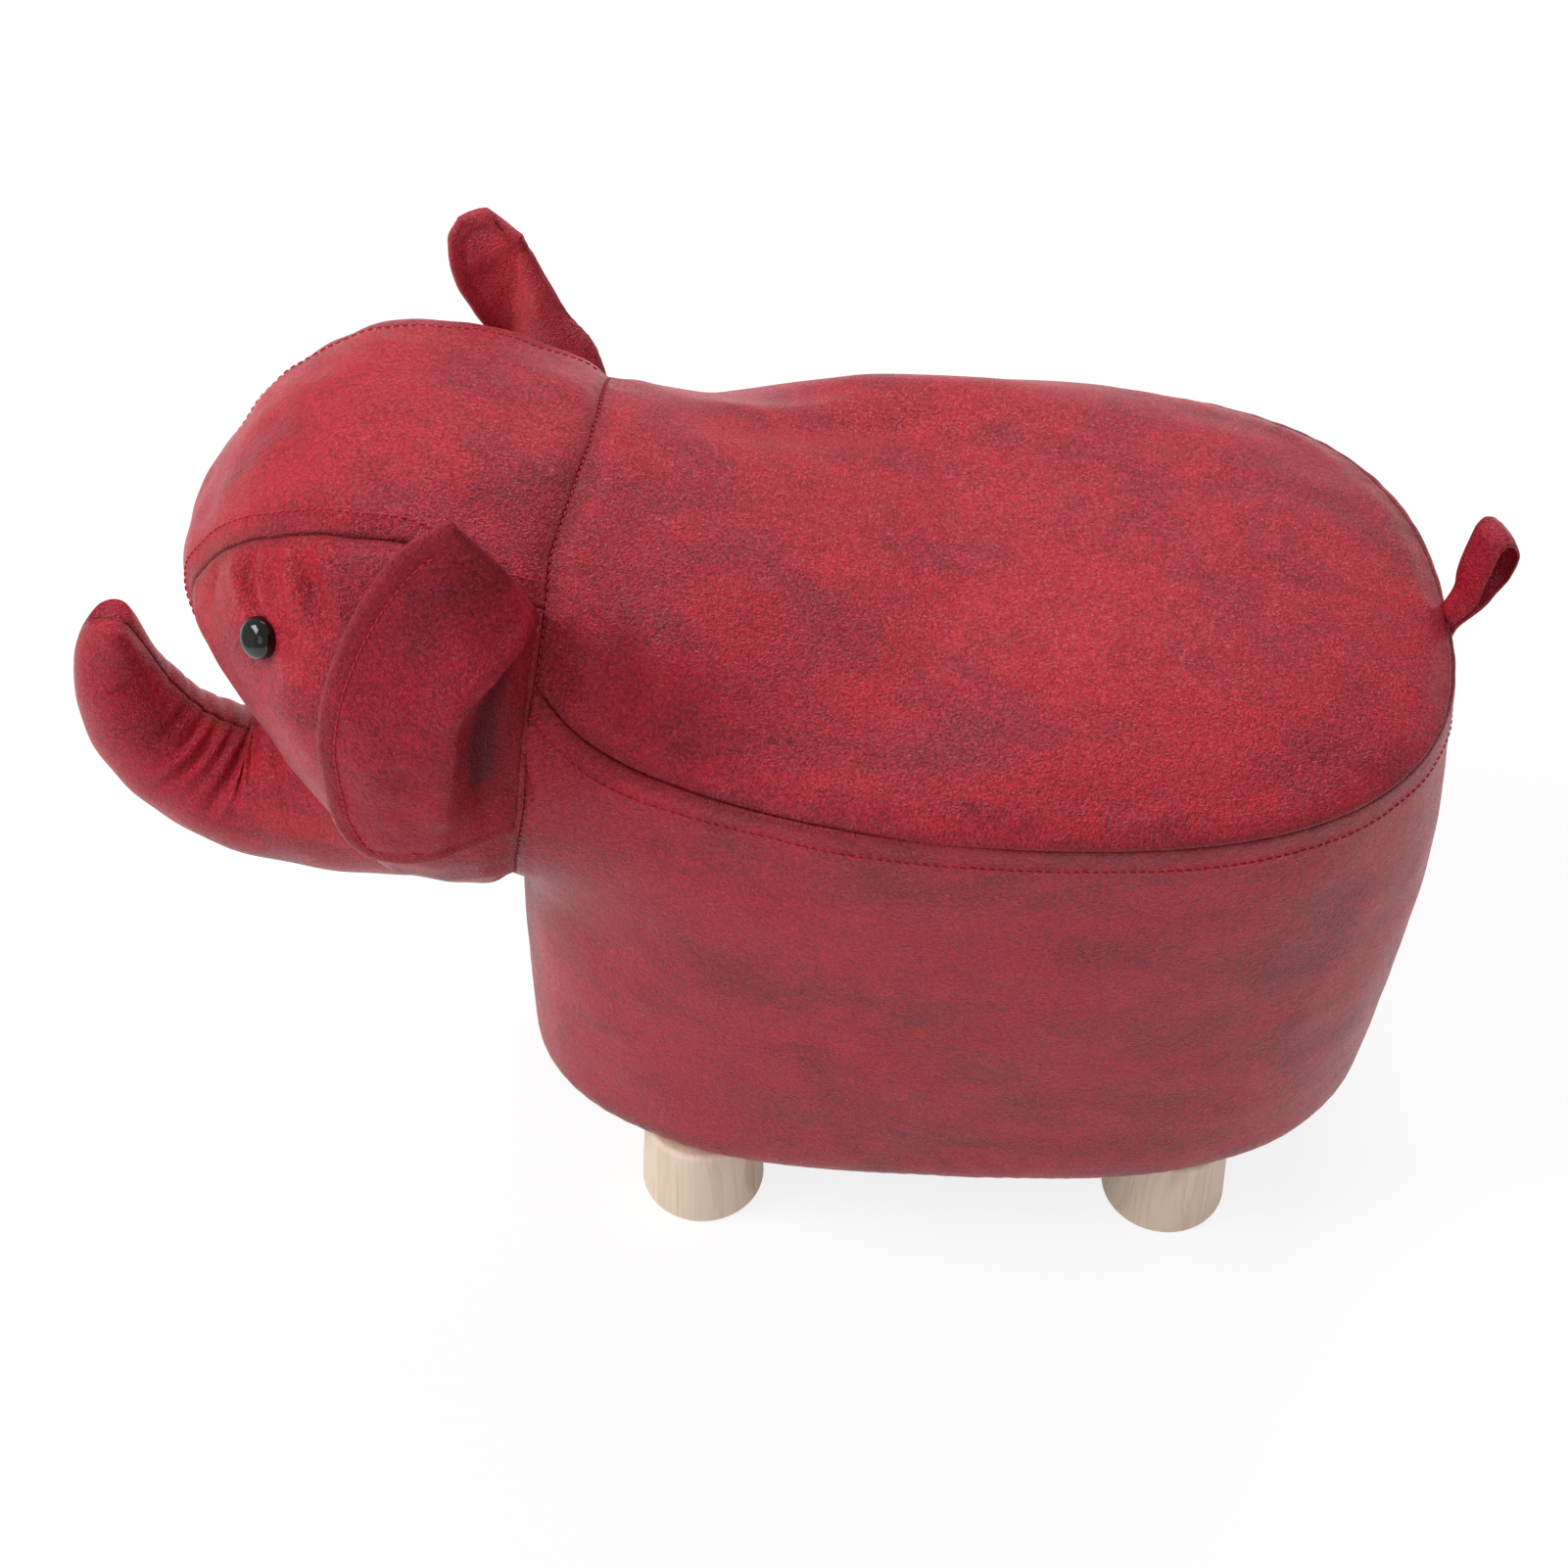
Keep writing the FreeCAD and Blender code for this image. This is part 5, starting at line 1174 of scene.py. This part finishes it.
left_stitches = stitch_row("left_ear_topstitch", [ear_lines(left_outer, left_off, left_out)])
right_stitches = stitch_row("right_ear_topstitch", [ear_lines(right_outer, right_off, right_out)])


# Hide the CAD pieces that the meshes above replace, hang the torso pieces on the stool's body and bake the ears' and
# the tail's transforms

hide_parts("seat_cover", "seat_foam")
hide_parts("side_cover", "front_pad", "rear_pad", "left_pad", "right_pad")
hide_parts("head_crown_panel", "head_stuffing")
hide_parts("cheek_panel_left")
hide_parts("cheek_panel_right")
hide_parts("trunk_panel_left", "trunk_stuffing")
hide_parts("trunk_panel_right")
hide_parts("ear_left_outer_skin", "ear_left_padding", "ear_left_inner_skin")
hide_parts("ear_right_outer_skin", "ear_right_padding", "ear_right_inner_skin")
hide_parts("tail_loop")
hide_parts("dust_cover")
for piece in (seat_piece, side_piece, crown_piece, near_cheek, far_cheek, trunk_near, trunk_far, dust_cloth,
              side_stitches, crown_stitches, neck_stitches):
    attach(piece, "stool")
for body, side, root, pieces in (("ear_left", -1, (-0.088, -0.103, 0.316), (left_ear, left_stitches)),
                                 ("ear_right", 1, (-0.076, 0.106, 0.316), (right_ear, right_stitches))):
    for piece in pieces:
        root[0] - 0.018
        root[1] + 0.015 * side
        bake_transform(piece)
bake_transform(tail_strap)
for piece in leather_pieces + (left_ear, right_ear):
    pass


# Finishes of the pieces kept from the CAD

NODE_FINISHES = (("leg_", pine), ("post_screws", zinc), ("post_", block_pine), ("hanger_bolt", zinc), ("tee_nut", zinc),
                 ("eye_washer", washer_white), ("eye_", eye_black), ("seat_board", ply), ("base_board", ply),
                 ("frame_wall", hardboard), ("cover_staples", staple_steel), ("dust_cover_staples", staple_steel))
for name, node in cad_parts.items():
    for start, finish in NODE_FINISHES:
        if name.startswith(start):
            node.data.materials.clear()
            node.data.materials.append(finish)
            break


# Floor, backdrop and light

FLOOR_REACH, FLOOR_GREY, GLOW_STRENGTH, GLOW_SHARE = 2600.0, 0.86, 1.14, 0.72


def pale_stage():
    """Matt where light falls on it, and near white in the camera's view, in reflections and through glass."""
    f = Finish("pale_stage")
    rays = f.nodes.new("ShaderNodeLightPath").outputs
    seen = Value(f, rays["Is Camera Ray"]) + Value(f, rays["Is Glossy Ray"]) + Value(f, rays["Is Transmission Ray"])
    matt = f.node("ShaderNodeBsdfDiffuse", {}, (FLOOR_GREY, FLOOR_GREY, FLOOR_GREY, 1.0), 1.0)
    glow = f.node("ShaderNodeEmission", {}, (1.0, 1.0, 1.0, 1.0), GLOW_STRENGTH)
    share = f.node("ShaderNodeMath", {"operation": "MULTIPLY", "use_clamp": True}, seen, GLOW_SHARE)
    both = f.node("ShaderNodeMixShader", {}, share, matt, glow)
    f.links.new(both.socket, f.output.inputs["Surface"])
    return f.material


corners = np.array(((-1, -1, 0), (1, -1, 0), (1, 1, 0), (-1, 1, 0)), float)
floor = mesh_of("floor", corners * FLOOR_REACH, [[0, 1, 2, 3]])
floor.data.materials.append(pale_stage())
world = bpy.data.worlds.new("studio")
world.use_nodes = True
bpy.context.scene.world = world
tree = world.node_tree
tree.nodes.clear()
rays, sky, white, pick, out = [tree.nodes.new("ShaderNode" + kind) for kind in (
    "LightPath", "Background", "Background", "MixShader", "OutputWorld")]
for backdrop, strength in ((sky, 0.40), (white, 1.0)):
    backdrop.inputs["Color"].default_value = (1.0, 1.0, 1.0, 1.0)
    backdrop.inputs["Strength"].default_value = strength
for giver, word, taker, entry in ((rays, "Is Camera Ray", pick, 0), (sky, 0, pick, 1), (white, 0, pick, 2),
                                  (pick, 0, out, 0)):
    tree.links.new(giver.outputs[word], taker.inputs[entry])


def soft_light(name, place, aim, width, height, watts):
    light = bpy.data.lights.new(name, "AREA")
    light.shape, light.size, light.size_y, light.energy = "RECTANGLE", width, height, watts
    lamp = bpy.data.objects.new(name, light)
    bpy.context.scene.collection.objects.link(lamp)
    way = Vector(aim) - Vector(place)
    lamp.matrix_world = Matrix.Translation(Vector(place)) @ way.to_track_quat("-Z", "Y").to_matrix().to_4x4()


soft_light("softbox_left", (-1.45, -0.35, 1.45), (0.0, 0.0, 0.25), 0.9, 0.9, 20.5)
soft_light("softbox_back", (0.35, 1.3, 1.7), (0.05, 0.0, 0.3), 1.3, 0.9, 25.5)
soft_light("softbox_front", (-1.1, -1.8, 1.2), (-0.1, 0.0, 0.25), 1.2, 1.0, 3.7)

bpy.context.view_layer.update()
